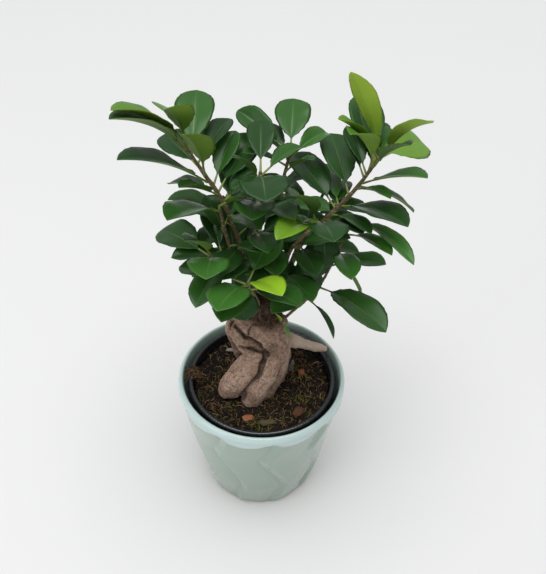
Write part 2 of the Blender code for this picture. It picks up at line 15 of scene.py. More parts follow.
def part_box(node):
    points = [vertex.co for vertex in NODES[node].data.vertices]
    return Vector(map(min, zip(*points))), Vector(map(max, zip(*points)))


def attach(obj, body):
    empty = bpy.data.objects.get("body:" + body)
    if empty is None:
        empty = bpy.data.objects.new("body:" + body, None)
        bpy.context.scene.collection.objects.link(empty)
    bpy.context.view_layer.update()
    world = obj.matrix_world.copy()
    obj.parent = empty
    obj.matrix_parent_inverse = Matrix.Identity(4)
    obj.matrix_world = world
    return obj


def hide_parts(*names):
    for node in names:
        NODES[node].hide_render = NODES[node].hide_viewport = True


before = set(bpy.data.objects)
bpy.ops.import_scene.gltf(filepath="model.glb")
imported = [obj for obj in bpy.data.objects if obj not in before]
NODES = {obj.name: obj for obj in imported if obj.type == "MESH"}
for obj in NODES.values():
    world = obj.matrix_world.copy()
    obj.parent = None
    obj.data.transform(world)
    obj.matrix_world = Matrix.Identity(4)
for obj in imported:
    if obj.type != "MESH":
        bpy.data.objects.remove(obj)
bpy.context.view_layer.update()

bl_info = {
    "name": "Potted ficus bonsai",
    "version": (1, 0, 0),
    "blender": (4, 5, 0),
    "location": "3D View > Sidebar > Bonsai",
    "description": "Leaves, roots, soil and pots of a small ficus bonsai",
    "category": "Object",
}

MM = 0.001
LEAF_NODES = sorted(n for n in NODES if n.startswith("leaf_"))
TWIG_NODES = sorted(n for n in NODES if n.startswith("twig_"))
POT_LOW, POT_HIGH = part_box("cover_pot")
RIM_LOW, RIM_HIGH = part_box("nursery_pot")

# How far each leaf is from old and dark (0) to young and yellow-green (1).
LEAF_AGE = {
    "leaf_front_b": 0.97, "leaf_near_c": 0.70, "leaf_right_a": 0.62, "leaf_right_b": 0.66,
    "leaf_right_d": 0.86, "leaf_right_f": 0.66, "leaf_right_g": 0.50, "leaf_left_a": 0.58,
    "leaf_left_d": 0.50, "leaf_right_i": 0.30, "leaf_side_a": 0.40, "leaf_front_a": 0.34,
    "leaf_front_c": 0.36, "leaf_low_b": 0.36, "leaf_left_g": 0.36, "leaf_side_c": 0.30,
    "leaf_top_a": 0.24, "leaf_left_c": 0.24, "leaf_right_c": 0.24, "leaf_top_c": 0.34,
    "leaf_centre_c": 0.26, "leaf_centre_e": 0.20, "leaf_side_b": 0.36,
}
# Leaves that are rolled in along their length look narrower than they are.
NARROW = {"leaf_right_d": 0.72, "leaf_right_g": 0.9}


# ---- settings ---------------------------------------------------------------------
def colour(name, text, value):
    return FloatVectorProperty(name=name, description=text, default=value, size=3,
                               subtype="COLOR", min=0.0, max=1.0)


def length(name, text, value):
    return FloatProperty(name=name, description=text, default=value, unit="LENGTH",
                         min=0.0)


class BonsaiPotSettings(bpy.types.PropertyGroup):
    """Sizes and colours of the two pots."""
    glaze: colour("Glaze", "Colour of the glaze on the body", (0.300, 0.395, 0.335))
    glaze_lip: colour("Lip glaze", "Colour where the glaze is thick on the lip",
                      (0.50, 0.635, 0.615))
    bare_clay: colour("Bare clay", "Colour of the unglazed foot edge", (0.16, 0.12, 0.07))
    relief: length("Relief", "Depth of the wave pattern on the wall", 0.0029)
    lobes: IntProperty(name="Waves", description="How many waves go round the pot",
                       default=10, min=3)
    plastic: colour("Plastic", "Colour of the nursery pot", (0.010, 0.013, 0.018))


class BonsaiTreeSettings(bpy.types.PropertyGroup):
    """Sizes and colours of the tree."""
    leaf_dark: colour("Old leaf", "Upper side of an old leaf", (0.007, 0.042, 0.008))
    leaf_mid: colour("Grown leaf", "Upper side of a leaf of this year",
                     (0.050, 0.180, 0.024))
    leaf_young: colour("Young leaf", "Upper side of the youngest leaves",
                       (0.33, 0.58, 0.024))
    bark: colour("Root bark", "Light parts of the root bark", (0.41, 0.265, 0.190))
    bark_dark: colour("Bark in creases", "Dark parts of the root bark",
                      (0.055, 0.036, 0.026))
    twig: colour("Twig bark", "Bark of the thin shoots", (0.17, 0.13, 0.055))
    leaf_thick: length("Leaf thickness", "Thickness of a blade by its midrib", 0.0005)
    bark_grain: length("Bark relief", "Height of the small lumps in the bark", 0.0007)


class BonsaiSoilSettings(bpy.types.PropertyGroup):
    """Sizes and colours of the soil and what lies on it."""
    peat: colour("Peat", "Colour of the soil", (0.010, 0.007, 0.005))
    fibre: colour("Fibres", "Colour of the root fibres", (0.34, 0.185, 0.080))
    moss: colour("Moss", "Colour of the moss", (0.33, 0.31, 0.045))
    crumb_density: FloatProperty(name="Crumbs", default=300000.0, min=0.0,
                                 description="Crumbs of peat per square metre")
    fibre_density: FloatProperty(name="Fibres", default=75000.0, min=0.0,
                                 description="Root fibres per square metre")
    moss_density: FloatProperty(name="Moss", default=150000.0, min=0.0,
                                description="Blades of moss per square metre")
    seed: IntProperty(name="Seed", description="Seed of everything scattered", default=7)


# ---- node helpers --------------------------------------------------------------------
class Nodes:
    """A short way to write a material's node tree."""

    def __init__(self, name):
        self.mat = bpy.data.materials.new(name)
        self.mat.use_nodes = True
        self.tree = self.mat.node_tree
        self.bsdf = self.tree.nodes["Principled BSDF"]

    def new(self, kind, **values):
        node = self.tree.nodes.new(kind)
        for key, value in values.items():
            setattr(node, key, value)
        return node

    def link(self, a, b):
        self.tree.links.new(a, b)

    def put(self, socket, value):
        """Link a socket to another one, or set its value."""
        if isinstance(value, bpy.types.NodeSocket):
            self.link(value, socket)
            return
        if hasattr(value, "__len__"):
            value = tuple(value)
            if socket.type == "RGBA" and len(value) == 3:
                value += (1.0,)
        socket.default_value = value

    def math(self, op, a, b=0.0, c=None, clamp=False):
        node = self.new("ShaderNodeMath", operation=op, use_clamp=clamp)
        self.put(node.inputs[0], a)
        self.put(node.inputs[1], b)
        if c is not None:
            self.put(node.inputs[2], c)
        return node.outputs[0]

    def mix(self, factor, a, b, mode="MIX"):
        node = self.new("ShaderNodeMix", data_type="RGBA", blend_type=mode)
        self.put(node.inputs["Factor"], factor)
        self.put(node.inputs[6], a)
        self.put(node.inputs[7], b)
        return node.outputs[2]

    def ramp(self, value, stops):
        node = self.new("ShaderNodeValToRGB")
        self.put(node.inputs[0], value)
        points = node.color_ramp.elements
        while len(points) < len(stops):
            points.new(0.5)
        for point, (place, shade) in zip(points, stops):
            point.position = place
            point.color = tuple(shade) + (1.0,) if hasattr(shade, "__len__") else \
                (shade, shade, shade, 1.0)
        return node.outputs[0]

    def spots(self, scale, detail=3.0, roughness=0.55, vector=None, stretch=None):
        node = self.new("ShaderNodeTexNoise")
        node.inputs["Scale"].default_value = scale
        node.inputs["Detail"].default_value = detail
        node.inputs["Roughness"].default_value = roughness
        self.link(vector or self.place(stretch), node.inputs["Vector"])
        return node.outputs["Fac"]

    def cells(self, scale, vector=None, feature="F1"):
        node = self.new("ShaderNodeTexVoronoi", feature=feature)
        node.inputs["Scale"].default_value = scale
        self.link(vector or self.place(), node.inputs["Vector"])
        return node.outputs["Distance"]

    def place(self, stretch=None):
        where = self.new("ShaderNodeTexCoord").outputs["Object"]
        if stretch is None:
            return where
        node = self.new("ShaderNodeMapping")
        self.link(where, node.inputs["Vector"])
        node.inputs["Scale"].default_value = stretch
        return node.outputs["Vector"]

    def parts(self, vector):
        """The three numbers of a vector."""
        node = self.new("ShaderNodeSeparateXYZ")
        self.link(vector, node.inputs[0])
        return node.outputs

    def attribute(self, name):
        return self.new("ShaderNodeAttribute", attribute_name=name).outputs["Fac"]

    def bump(self, height, distance, strength=1.0):
        node = self.new("ShaderNodeBump")
        node.inputs["Strength"].default_value = strength
        node.inputs["Distance"].default_value = distance
        self.put(node.inputs["Height"], height)
        self.link(node.outputs[0], self.bsdf.inputs["Normal"])

    def finish(self, base, rough, **sockets):
        self.put(self.bsdf.inputs["Base Color"], base)
        self.put(self.bsdf.inputs["Roughness"], rough)
        for key, value in sockets.items():
            self.put(self.bsdf.inputs[key.replace("_", " ")], value)
        return self.mat


# ---- mesh helpers ---------------------------------------------------------------------
def write_values(mesh, values):
    """Store numbers on a mesh's points, one list for each name."""
    for key, data in values.items():
        mesh.attributes.new(key, "FLOAT", "POINT").data.foreach_set(
            "value", np.asarray(data, dtype=np.float32))


def shade_round(mesh):
    mesh.polygons.foreach_set("use_smooth", [True] * len(mesh.polygons))


def add_object(name, mesh):
    ob = bpy.data.objects.new(name, mesh)
    bpy.context.scene.collection.objects.link(ob)
    return ob


def set_outward(ob):
    bm = bmesh.new()
    bm.from_mesh(ob.data)
    bmesh.ops.recalc_face_normals(bm, faces=bm.faces)
    bm.to_mesh(ob.data)
    bm.free()


def make_object(name, verts, faces, materials, which=None, uv=None, values=None):
    mesh = bpy.data.meshes.new(name)
    mesh.from_pydata([tuple(v) for v in verts], [], faces)
    for mat in materials:
        mesh.materials.append(mat)
    shade_round(mesh)
    if which is not None:
        mesh.polygons.foreach_set("material_index", which)
    if uv is not None:
        layer = mesh.uv_layers.new(name="UVMap")
        index = np.empty(len(mesh.loops), dtype=np.int32)
        mesh.loops.foreach_get("vertex_index", index)
        layer.data.foreach_set("uv", np.asarray(uv, dtype=np.float32)[index].ravel())
    write_values(mesh, values or {})
    mesh.update()
    return add_object(name, mesh)


def carry(ob, slot, *nodes):
    """Let a finished piece ride on the tree's only body in place of CAD nodes."""
    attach(ob, "root")
    if nodes:
        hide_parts(*nodes)
    return ob


def merged_copy(node):
    bm = bmesh.new()
    bm.from_mesh(NODES[node].data)
    bmesh.ops.remove_doubles(bm, verts=bm.verts, dist=2e-6)
    return bm


def with_modifiers(ob, modifiers):
    """Replace an object's mesh by the one that the modifiers make of it."""
    for kind, values in modifiers:
        mod = ob.modifiers.new(kind, kind)
        for key, value in values.items():
            setattr(mod, key, value)
    graph = bpy.context.evaluated_depsgraph_get()
    mesh = bpy.data.meshes.new_from_object(ob.evaluated_get(graph))
    ob.modifiers.clear()
    old, ob.data = ob.data, mesh
    bpy.data.meshes.remove(old)
    return ob


def turned_piece(name, profile, steps, materials, shift=None):
    """A closed turned solid; shift(angle, radius, z, index) may move each point."""
    verts, faces, rings = [], [], []
    for i, (r, z) in enumerate(profile):
        if r < 1e-7:
            rings.append([len(verts)])
            verts.append((0.0, 0.0, z))
            continue
        ring = []
        for k in range(steps):
            a = 2 * math.pi * k / steps
            rr, zz = shift(a, r, z, i) if shift else (r, z)
            ring.append(len(verts))
            verts.append((rr * math.cos(a), rr * math.sin(a), zz))
        rings.append(ring)
    for a, b in zip(rings, rings[1:]):
        for k in range(steps):
            j = (k + 1) % steps
            quad = [a[k % len(a)], a[j % len(a)], b[j % len(b)], b[k % len(b)]]
            faces.append(list(dict.fromkeys(quad)))
    return make_object(name, verts, faces, materials)


def read_skin(mesh):
    """Points and normals of a mesh, read once before any point is moved."""
    count = len(mesh.vertices)
    points, normals = np.empty(count * 3), np.empty(count * 3)
    mesh.vertices.foreach_get("co", points)
    mesh.vertex_normals.foreach_get("vector", normals)
    return points.reshape(-1, 3), normals.reshape(-1, 3)


def smooth_step(t):
    t = min(max(t, 0.0), 1.0)
    return t * t * (3 - 2 * t)


def curve_value(points, x):
    """A smooth line through (x, y) points."""
    if x <= points[0][0]:
        return points[0][1]
    for (x0, y0), (x1, y1) in zip(points, points[1:]):
        if x <= x1:
            return y0 + (y1 - y0) * smooth_step((x - x0) / (x1 - x0))
    return points[-1][1]


# ---- materials ---------------------------------------------------------------------
def leaf_material(tree, under):
    """Glossy upper side or dull underside, with a midrib, side veins and a pale edge."""
    n = Nodes("leaf underside" if under else "leaf upper side")
    along, across, _ = n.parts(n.new("ShaderNodeUVMap", uv_map="UVMap").outputs[0])
    off = n.math("ABSOLUTE", n.math("SUBTRACT", across, 0.5))
    age = n.attribute("age")
    dark, mid, young = tree.leaf_dark, tree.leaf_mid, tree.leaf_young
    if under:
        base = n.ramp(age, [(0.0, (0.070, 0.150, 0.030)), (0.45, (0.19, 0.33, 0.040)),
                            (1.0, (0.44, 0.62, 0.060))])
    else:
        base = n.ramp(age, [(0.0, dark), (0.42, mid), (1.0, young)])
    cloud = n.spots(90.0, 2.0)
    base = n.mix(n.math("MULTIPLY", cloud, 0.45), base,
                 n.mix(0.5, base, (0.02, 0.05, 0.01) if not under else (0.10, 0.17, 0.03)))
    slant = n.math("SUBTRACT", along, n.math("MULTIPLY", off, 0.55))
    wave = n.math("SINE", n.math("MULTIPLY", slant, 100.0))
    vein = n.math("POWER", n.math("MULTIPLY_ADD", wave, 0.5, 0.5), 7.0)
    base = n.mix(n.math("MULTIPLY", vein, 0.07), base, n.mix(0.6, base, (0.30, 0.42, 0.14)))
    rib = n.math("SUBTRACT", 1.0, n.math("DIVIDE", off, 0.022), clamp=True)
    rib = n.math("MULTIPLY", rib, n.math("SUBTRACT", 1.1, along))
    base = n.mix(n.math("MULTIPLY", rib, 0.75), base, n.mix(0.45, base, (0.42, 0.55, 0.22)))
    edge = n.math("MULTIPLY", n.math("SUBTRACT", off, 0.484), 70.0, clamp=True)
    base = n.mix(n.math("MULTIPLY", edge, 0.55), base, (0.16, 0.30, 0.035))
    height = n.math("ADD", n.math("MULTIPLY", vein, -0.12), n.math("MULTIPLY", cloud, 0.8))
    n.bump(height, 0.00025, 0.35 if not under else 0.6)
    rough = n.math("MULTIPLY_ADD", cloud, 0.10, 0.26 if not under else 0.50)
    return n.finish(base, rough, Specular_IOR_Level=0.36 if not under else 0.30)


def stalk_material():
    n = Nodes("leaf stalk")
    base = n.mix(n.spots(700.0), (0.16, 0.22, 0.04), (0.26, 0.30, 0.07))
    return n.finish(base, 0.45)


def twig_material(tree):
    n = Nodes("twig bark")
    fine = n.spots(900.0, 4.0)
    rings = n.spots(260.0, 2.0, stretch=(1.0, 1.0, 4.0))
    base = n.mix(fine, n.mix(0.6, tree.twig, (0.03, 0.022, 0.012)), tree.twig)
    base = n.mix(n.ramp(rings, [(0.55, 0.0), (0.66, 1.0)]), base, (0.30, 0.25, 0.15))
    n.bump(n.math("ADD", fine, rings), 0.0006, 0.7)
    return n.finish(base, 0.62)


CUT_END = 0.0545            # x where the side root was cut off


def root_material(tree):
    """Grey-brown skin with pores and pale lenticels, painted shade in its creases and hollows;
    dark and fibrous at the stump.
    """
    n = Nodes("root bark")
    broad = n.spots(55.0, 4.0, 0.6)
    fine = n.spots(420.0, 5.0, 0.65)
    grain = n.spots(1500.0, 3.0, 0.6)
    crease, stump = n.attribute("crease"), n.attribute("stump")
    base = n.ramp(broad, [(0.34, (0.25, 0.140, 0.092)), (0.50, tree.bark),
                          (0.66, (0.52, 0.385, 0.30))])
    base = n.mix(n.ramp(fine, [(0.38, 0.75), (0.52, 0.0)]), base, (0.12, 0.070, 0.048))
    lines = n.spots(380.0, 3.0, 0.6, stretch=(0.7, 0.7, 3.2))
    base = n.mix(n.ramp(lines, [(0.34, 0.5), (0.48, 0.0)]), base, (0.11, 0.068, 0.048))
    pores = n.ramp(n.cells(900.0), [(0.10, 1.0), (0.30, 0.0)])
    few = n.ramp(n.spots(210.0, 2.0), [(0.44, 0.0), (0.54, 1.0)])
    pores = n.math("MULTIPLY", pores, few)
    base = n.mix(n.math("MULTIPLY", pores, 0.8), base, tree.bark_dark)
    pale = n.ramp(grain, [(0.57, 0.0), (0.66, 1.0)])
    base = n.mix(n.math("MULTIPLY", pale, 0.7), base, (0.60, 0.48, 0.40))
    base = n.mix(n.math("MULTIPLY", n.attribute("pale"), 0.70), base, (0.66, 0.53, 0.42))
    past_cut = n.math("SUBTRACT", n.parts(n.place())[0], CUT_END)
    cut = n.math("MULTIPLY", past_cut, 900.0, clamp=True)
    base = n.mix(cut, base, (0.17, 0.085, 0.045))
    # Painted shade: the bark is darkened in creases and shut-in hollows.
    base = n.mix(n.math("MULTIPLY", crease, 0.93), base, (0.020, 0.012, 0.008))
    fibres = n.spots(300.0, 5.0, 0.7, stretch=(1.0, 1.0, 0.35))
    scar = n.ramp(fibres, [(0.35, (0.008, 0.006, 0.005)), (0.55, (0.055, 0.032, 0.020)),
                           (0.72, (0.20, 0.115, 0.065))])
    base = n.mix(stump, base, scar)
    height = n.math("ADD", n.math("MULTIPLY", fine, 0.8), n.math("MULTIPLY", grain, 0.5))
    height = n.math("ADD", height, n.math("MULTIPLY", lines, 0.9))
    height = n.math("SUBTRACT", height, n.math("MULTIPLY", pores, 0.6))
    n.bump(height, 0.0009, 0.85)
    return n.finish(base, n.math("MULTIPLY_ADD", fine, 0.2, 0.62), Specular_IOR_Level=0.35)


LOW_SHADE_TOP = 0.085      # height below which the glaze is darkened towards the foot, a painted shade


def glaze_material(pots):
    """Pale mint glaze, thicker and lighter on the lip, worn and specked at the foot; painted
    shade low on the wall and below each wave's step.
    """
    n = Nodes("mint glaze")
    lip, foot, edge = n.attribute("lip"), n.attribute("foot"), n.attribute("edge")
    cloud = n.spots(28.0, 3.0)
    base = n.mix(cloud, n.mix(0.25, pots.glaze, (0.22, 0.28, 0.22)), pots.glaze)
    # Painted shadow: the edge attribute darkens the glaze along the foot of each wave's steep
    # step.
    base = n.mix(n.math("MULTIPLY", edge, 0.25), base, (0.20, 0.26, 0.21))
    height = n.parts(n.place())[2]
    # Painted shade: the glaze is darkened more and more towards the foot.
    thin = n.math("SUBTRACT", 1.0, n.math("DIVIDE", height, LOW_SHADE_TOP), clamp=True)
    base = n.mix(n.math("MULTIPLY", thin, 0.55), base, (0.20, 0.255, 0.195))
    base = n.mix(lip, base, pots.glaze_lip)
    specks = n.ramp(n.cells(190.0), [(0.035, 1.0), (0.06, 0.0)])
    sparse = n.ramp(n.spots(60.0, 2.0), [(0.56, 0.0), (0.62, 1.0)])
    many = n.ramp(n.spots(170.0, 4.0), [(0.43, 0.0), (0.55, 1.0)])
    base = n.mix(n.math("MULTIPLY", specks, n.math("MULTIPLY", sparse, 0.7)), base,
                 (0.05, 0.04, 0.03))
    worn = n.math("MULTIPLY", foot, many)
    base = n.mix(n.math("MULTIPLY", worn, 0.75), base, pots.bare_clay)
    n.bump(n.math("ADD", cloud, n.math("MULTIPLY", n.spots(240.0, 2.0), 0.25)), 0.0008, 0.35)
    rough = n.math("MULTIPLY_ADD", worn, 0.45, 0.16)
    return n.finish(base, rough, Coat_Weight=0.35, Coat_Roughness=0.08)


def plastic_material(pots):
    n = Nodes("black plastic")
    ring = n.spots(900.0, 2.0, stretch=(1.0, 1.0, 0.25))
    dust = n.ramp(n.spots(160.0, 4.0), [(0.52, 0.0), (0.72, 1.0)])
    base = n.mix(n.math("MULTIPLY", dust, 0.15), pots.plastic, (0.07, 0.065, 0.06))
    n.bump(ring, 0.0004, 0.4)
    return n.finish(base, n.math("MULTIPLY_ADD", dust, 0.20, 0.24), Coat_Weight=0.8,
                    Coat_Roughness=0.16)


def peat_material(soil):
    n = Nodes("peat")
    fine = n.spots(700.0, 5.0, 0.7)
    base = n.ramp(fine, [(0.35, (0.004, 0.003, 0.002)), (0.55, soil.peat),
                         (0.75, (0.045, 0.028, 0.017))])
    n.bump(fine, 0.0015, 1.0)
    return n.finish(base, 0.9, Specular_IOR_Level=0.25)


def litter_material(name, dark, light, rough=0.8):
    """Small bits on the soil; each has its own shade between two colours."""
    n = Nodes(name)
    shade = n.attribute("shade")
    base = n.mix(shade, dark, light)
    base = n.mix(n.math("MULTIPLY", n.spots(1400.0, 2.0), 0.6), base,
                 n.mix(0.6, base, (0.01, 0.008, 0.005)))
    return n.finish(base, rough, Specular_IOR_Level=0.3)


# ---- leaves -----------------------------------------------------------------------
RING_PLACES = (0.0, 0.20, 0.44, 0.70, 0.91, 1.0)      # where the CAD blade has sections
OUTLINE = [(0.0, 0.05), (0.04, 0.17), (0.12, 0.42), (0.24, 0.71), (0.38, 0.92),
           (0.50, 1.0), (0.62, 1.01), (0.72, 0.94), (0.81, 0.80), (0.88, 0.62),
           (0.935, 0.40), (0.97, 0.20), (0.988, 0.08), (1.0, 0.0)]
ACROSS = 10                                            # strips across a blade
STATIONS = 26                                          # sections along a blade
STALK_RADIUS = 0.00065
RIB_WIDTH = 0.0009          # of the midrib; it is sunk on top and stands out below
RIB_SUNK, RIB_RAISED = 0.00028, 0.00050
BLADE_END = 0.992           # where the last section lies, just before the tip
GOLDEN_ANGLE = 2.399        # gives neighbouring leaves different ripples


def layers(start, count):
    """The rings of points around a first point, each one edge further away."""
    seen, layer, out = {start}, [start], []
    for _ in range(count):
        layer = [w for w in {e.other_vert(v) for v in layer for e in v.link_edges}
                 if w not in seen]
        layer.sort(key=lambda v: v.index)
        seen.update(layer)
        out.append(layer)
    return out


def find_leaves(bm):
    """Read each leaf of a CAD mesh: its midline, width, upper side and crease."""
    bm.verts.index_update()
    found = []
    for tip in bm.verts:
        if len(tip.link_edges) != 4:
            continue
        sets = layers(tip, 6)
        if any(len(s) != 4 for s in sets[:5]) or len(sets[5]) < 3:
            continue
        rings = []
        for ring in sets[:5]:
            a, b = max(itertools.combinations(ring, 2),
                       key=lambda p: (p[0].co - p[1].co).length)
            c, d = [v for v in ring if v not in (a, b)]
            rings.append((a.co.copy(), b.co.copy(), c.co.copy(), d.co.copy()))
        rings.reverse()                                # stalk end first
        widths = [(a - b).length / 2 for a, b, c, d in rings]
        if widths[2] < max(widths[0], widths[4]) or widths[2] < 0.002:
            continue
        a, b, c, d = rings[2]
        up = (a + b - c - d).normalized()
        lift = (a + b - c - d).length / 2
        mids, ups = [], []
        for a, b, c, d in rings:
            way = (c - d).normalized()
            ups.append(way if way.dot(up) > 0 else -way)
            mids.append((c + d) / 2)
        for i in (1, 3):                               # follow the bend of the blade
            if ups[i].dot(ups[2]) < 0:
                ups[i] = -ups[i]
        for i in (0, 4):
            if ups[i].dot(ups[1 if i == 0 else 3]) < 0:
                ups[i] = -ups[i]
        foot = sum((v.co for v in sets[5]), Vector()) / len(sets[5])
        found.append({"foot": foot, "mids": mids + [tip.co.copy()],
                      "ups": ups + [ups[-1]], "half": widths[2],
                      "fold": math.atan2(lift, widths[2]),
                      "verts": [tip] + [v for s in sets[:5] for v in s]})
    return found


def spline(points, places, x):
    """A point on the smooth curve through points given at places."""
    i = max(k for k in range(len(places) - 1) if places[k] <= x or k == 0)
    t = (x - places[i]) / (places[i + 1] - places[i])
    p1, p2 = points[i], points[i + 1]
    span = places[i + 1] - places[i]
    m1 = (points[i + 1] - points[i - 1]) / (places[i + 1] - places[i - 1]) * span \
        if i else p2 - p1
    m2 = (points[i + 2] - points[i]) / (places[i + 2] - places[i]) * span \
        if i + 2 < len(points) else p2 - p1
    t2, t3 = t * t, t * t * t
    return (p1 * (2 * t3 - 3 * t2 + 1) + m1 * (t3 - 2 * t2 + t)
            + p2 * (3 * t2 - 2 * t3) + m2 * (t3 - t2))


def leaf_surface(leaf, thick, seed, reach):
    """Points, faces, texture places and side of one finished leaf."""
    mids, ups, half, fold = leaf["mids"], leaf["ups"], leaf["half"], leaf["fold"]
    ring = 2 * ACROSS
    start, neck, tip = leaf["foot"], mids[0], mids[-1]
    back = (start - neck).normalized()
    sections = [(start + back * reach, None, STALK_RADIUS * 1.25)]
    for t in (0.0, 0.35, 0.7):
        sections.append((start.lerp(neck, t), None, STALK_RADIUS * (1.25 - 0.35 * t)))
    for k in range(STATIONS):
        u = (k / (STATIONS - 1)) ** 1.05 * BLADE_END
        sections.append((spline(mids, RING_PLACES, u), u, None))
    verts, uv = [], []
    phase = seed * GOLDEN_ANGLE
    count = len(sections)
    for i, (p, u, r) in enumerate(sections):
        before = sections[max(i - 1, 0)][0]
        after = sections[i + 1][0] if i + 1 < count else tip
        way = (after - before).normalized()
        up = spline(ups, RING_PLACES, u if u is not None else 0.0)
        up = (up - way * up.dot(way)).normalized()
        side = way.cross(up)
        if u is not None:
            w = half * curve_value(OUTLINE, u)
            blade = smooth_step(u / 0.10)
            ripple = 0.05 * math.sin(u * 9.0 + phase) + 0.03 * math.sin(u * 17 + 2 * phase)
        for k in range(ring):
            top = k <= ACROSS
            v = -1 + 2 * k / ACROSS if top else 1 - 2 * (k - ACROSS) / ACROSS
            turn = math.pi - math.pi * k / ACROSS
            cx, cy = math.cos(turn), math.sin(turn)
            if u is None:
                q = p + r * (cx * side + cy * up)
            else:
                a = abs(v)
                x = w * v
                h = w * math.tan(fold) * a * (1.12 - 0.22 * a)
                h += w * ripple * a * a * (1 if v > 0 else -0.8)
                skin = thick / 2 * (1 - a ** 6)
                rib = math.exp(-(v * w / RIB_WIDTH) ** 2)
                if top:
                    y = h + skin - RIB_SUNK * rib * (1 - u)
                else:
                    y = h - skin - RIB_RAISED * rib * (1.1 - u)
                x = (1 - blade) * STALK_RADIUS * 0.9 * cx + blade * x
                y = (1 - blade) * STALK_RADIUS * 0.9 * cy + blade * y
                q = p + x * side + y * up
            verts.append(q)
            uv.append((max(u or 0.0, 0.0), (v + 1) / 2))
    faces, sides = [], []
    for i in range(count - 1):
        for k in range(ring):
            j = (k + 1) % ring
            a, b = i * ring, (i + 1) * ring
            faces.append((a + k, b + k, b + j, a + j))
            sides.append(2 if sections[i + 1][1] is None or sections[i][1] is None
                         else (0 if k < ACROSS else 1))
    end = len(verts)
    verts.append(tip)
    uv.append((1.0, 0.5))
    last = (count - 1) * ring
    for k in range(ring):
        faces.append((last + k, end, last + (k + 1) % ring))
        sides.append(0 if k < ACROSS else 1)
    faces.append(tuple(range(ring)))
    sides.append(2)
    return verts, faces, uv, sides


def join_leaves(name, leaves, ages, materials, thick, reach):
    """One piece of several leaves, whose stalks reach a little into their shoot."""
    verts, faces, uv, sides, age = [], [], [], [], []
    for i, leaf in enumerate(leaves):
        v, f, t, s = leaf_surface(leaf, thick, i + len(name), reach)
        base = len(verts)
        verts += v
        faces += [tuple(base + k for k in face) for face in f]
        uv += t
        sides += s
        age += [ages[i]] * len(v)
    ob = make_object(name, verts, faces, materials, sides, uv, {"age": age})
    set_outward(ob)
    return ob


def made_leaf_materials():
    names = ("leaf upper side", "leaf underside", "leaf stalk")
    return [bpy.data.materials[name] for name in names]


def number_of(text):
    """A number that differs from name to name and is the same on each run."""
    return sum((i + 1) * ord(c) for i, c in enumerate(text))


# ---- operators ----------------------------------------------------------------------
class BONSAI_OT_leaves(bpy.types.Operator):
    """Make every large leaf: a curved, creased blade with its stalk"""
    bl_idname = "bonsai.leaves"
    bl_label = "Leaves"

    def execute(self, context):
        tree = context.scene.bonsai_tree
        mats = [leaf_material(tree, False), leaf_material(tree, True), stalk_material()]
        for node in LEAF_NODES:
            bm = merged_copy(node)
            leaves = find_leaves(bm)
            if len(leaves) != 1:
                raise ValueError(node + " holds %d leaves" % len(leaves))
            leaves[0]["half"] *= NARROW.get(node, 1.0)
            shade = LEAF_AGE.get(node, 0.04 + 0.16 * (number_of(node) % 10) / 10)
            ob = join_leaves(node.replace("leaf_", "blade_"), leaves, [shade], mats,
                             tree.leaf_thick, 0.0013)
            bm.free()
            carry(ob, "leaf" if shade < 0.6 else "young_leaf", node)
        return {"FINISHED"}


def close_holes(bm):
    """Close each hole that a removed leaf leaves, with a fan round its middle."""
    open_edges = {e for e in bm.edges if len(e.link_faces) == 1}
    while open_edges:
        loop, stack = set(), [open_edges.pop()]
        while stack:
            edge = stack.pop()
            loop.add(edge)
            for v in edge.verts:
                for other in v.link_edges:
                    if other in open_edges:
                        open_edges.discard(other)
                        stack.append(other)
        rim = {v for e in loop for v in e.verts}
        middle = bm.verts.new(sum((v.co for v in rim), Vector()) / len(rim))
        for edge in loop:
            bm.faces.new((edge.verts[0], edge.verts[1], middle))


# Leaves deep in the crown: where the stalk leaves its shoot and where the tip is, in
# millimetres, then the width and the age.
INNER_LEAVES = [
    ((-27, 4, 280), (-6, 14, 297), 23, 0.06), ((-6, 0, 256), (18, 5, 268), 22, 0.03),
    ((-20, -3, 236), (-27, 14, 270), 24, 0.05), ((22, 8, 236), (14, -9, 212), 23, 0.08),
    ((-12, 2, 240), (-10, -13, 214), 24, 0.04), ((24, 9, 241), (34, -9, 210), 22, 0.10),
    ((32, 12, 252), (37, -7, 226), 22, 0.02), ((-26, -3, 258), (-41, 8, 281), 22, 0.09),
    ((16, -4, 243), (7, -15, 220), 22, 0.03), ((40, 13, 260), (43, -5, 234), 20, 0.07),
    ((-18, -9, 223), (-12, -27, 202), 22, 0.05), ((2, 15, 243), (0, 3, 216), 24, 0.02),
    ((10, 25, 278), (26, 12, 256), 22, 0.05), ((-16, 26, 232), (-20, 8, 212), 24, 0.03),
]
# Two small new leaves at the foot of the stump.
BUDS = [((13, -6, 183), (8, -9, 195), 10, 0.60), ((16, -6, 182), (20, -10, 171), 3.4, 0.50)]


def drawn_leaf(foot, tip, width, stalk, arch):
    """A leaf from the foot of its stalk to its tip, bent upwards in the middle."""
    foot, tip = Vector(foot) * MM, Vector(tip) * MM
    way = (tip - foot).normalized()
    up = (Vector((0, 0, 1)) - way * way.z).normalized()
    neck = foot + way * stalk * MM
    length = (tip - neck).length
    mids = [neck.lerp(tip, u) + up * arch * length * math.sin(math.pi * u)
            for u in RING_PLACES]
    ups = [(up + way * (u - 0.5) * 3 * arch).normalized() for u in RING_PLACES]
    return {"foot": foot, "mids": mids, "ups": ups, "half": width * MM / 2,
            "fold": math.radians(15)}


class BONSAI_OT_inner_leaves(bpy.types.Operator):
    """Fill the crown with the leaves that grow deep inside it, and add two buds"""
    bl_idname = "bonsai.inner_leaves"
    bl_label = "Inner leaves"

    def execute(self, context):
        tree = context.scene.bonsai_tree
        mats = made_leaf_materials()
        for name, table, stalk in (("inner_leaves", INNER_LEAVES, 6.0),
                                   ("bud_leaves", BUDS, 1.2)):
            leaves = [drawn_leaf(foot, tip, width, stalk, 0.08)
                      for foot, tip, width, _ in table]
            ob = join_leaves(name, leaves, [row[3] for row in table], mats,
                             tree.leaf_thick, 0.0010)
            carry(ob, "leaf")
        return {"FINISHED"}


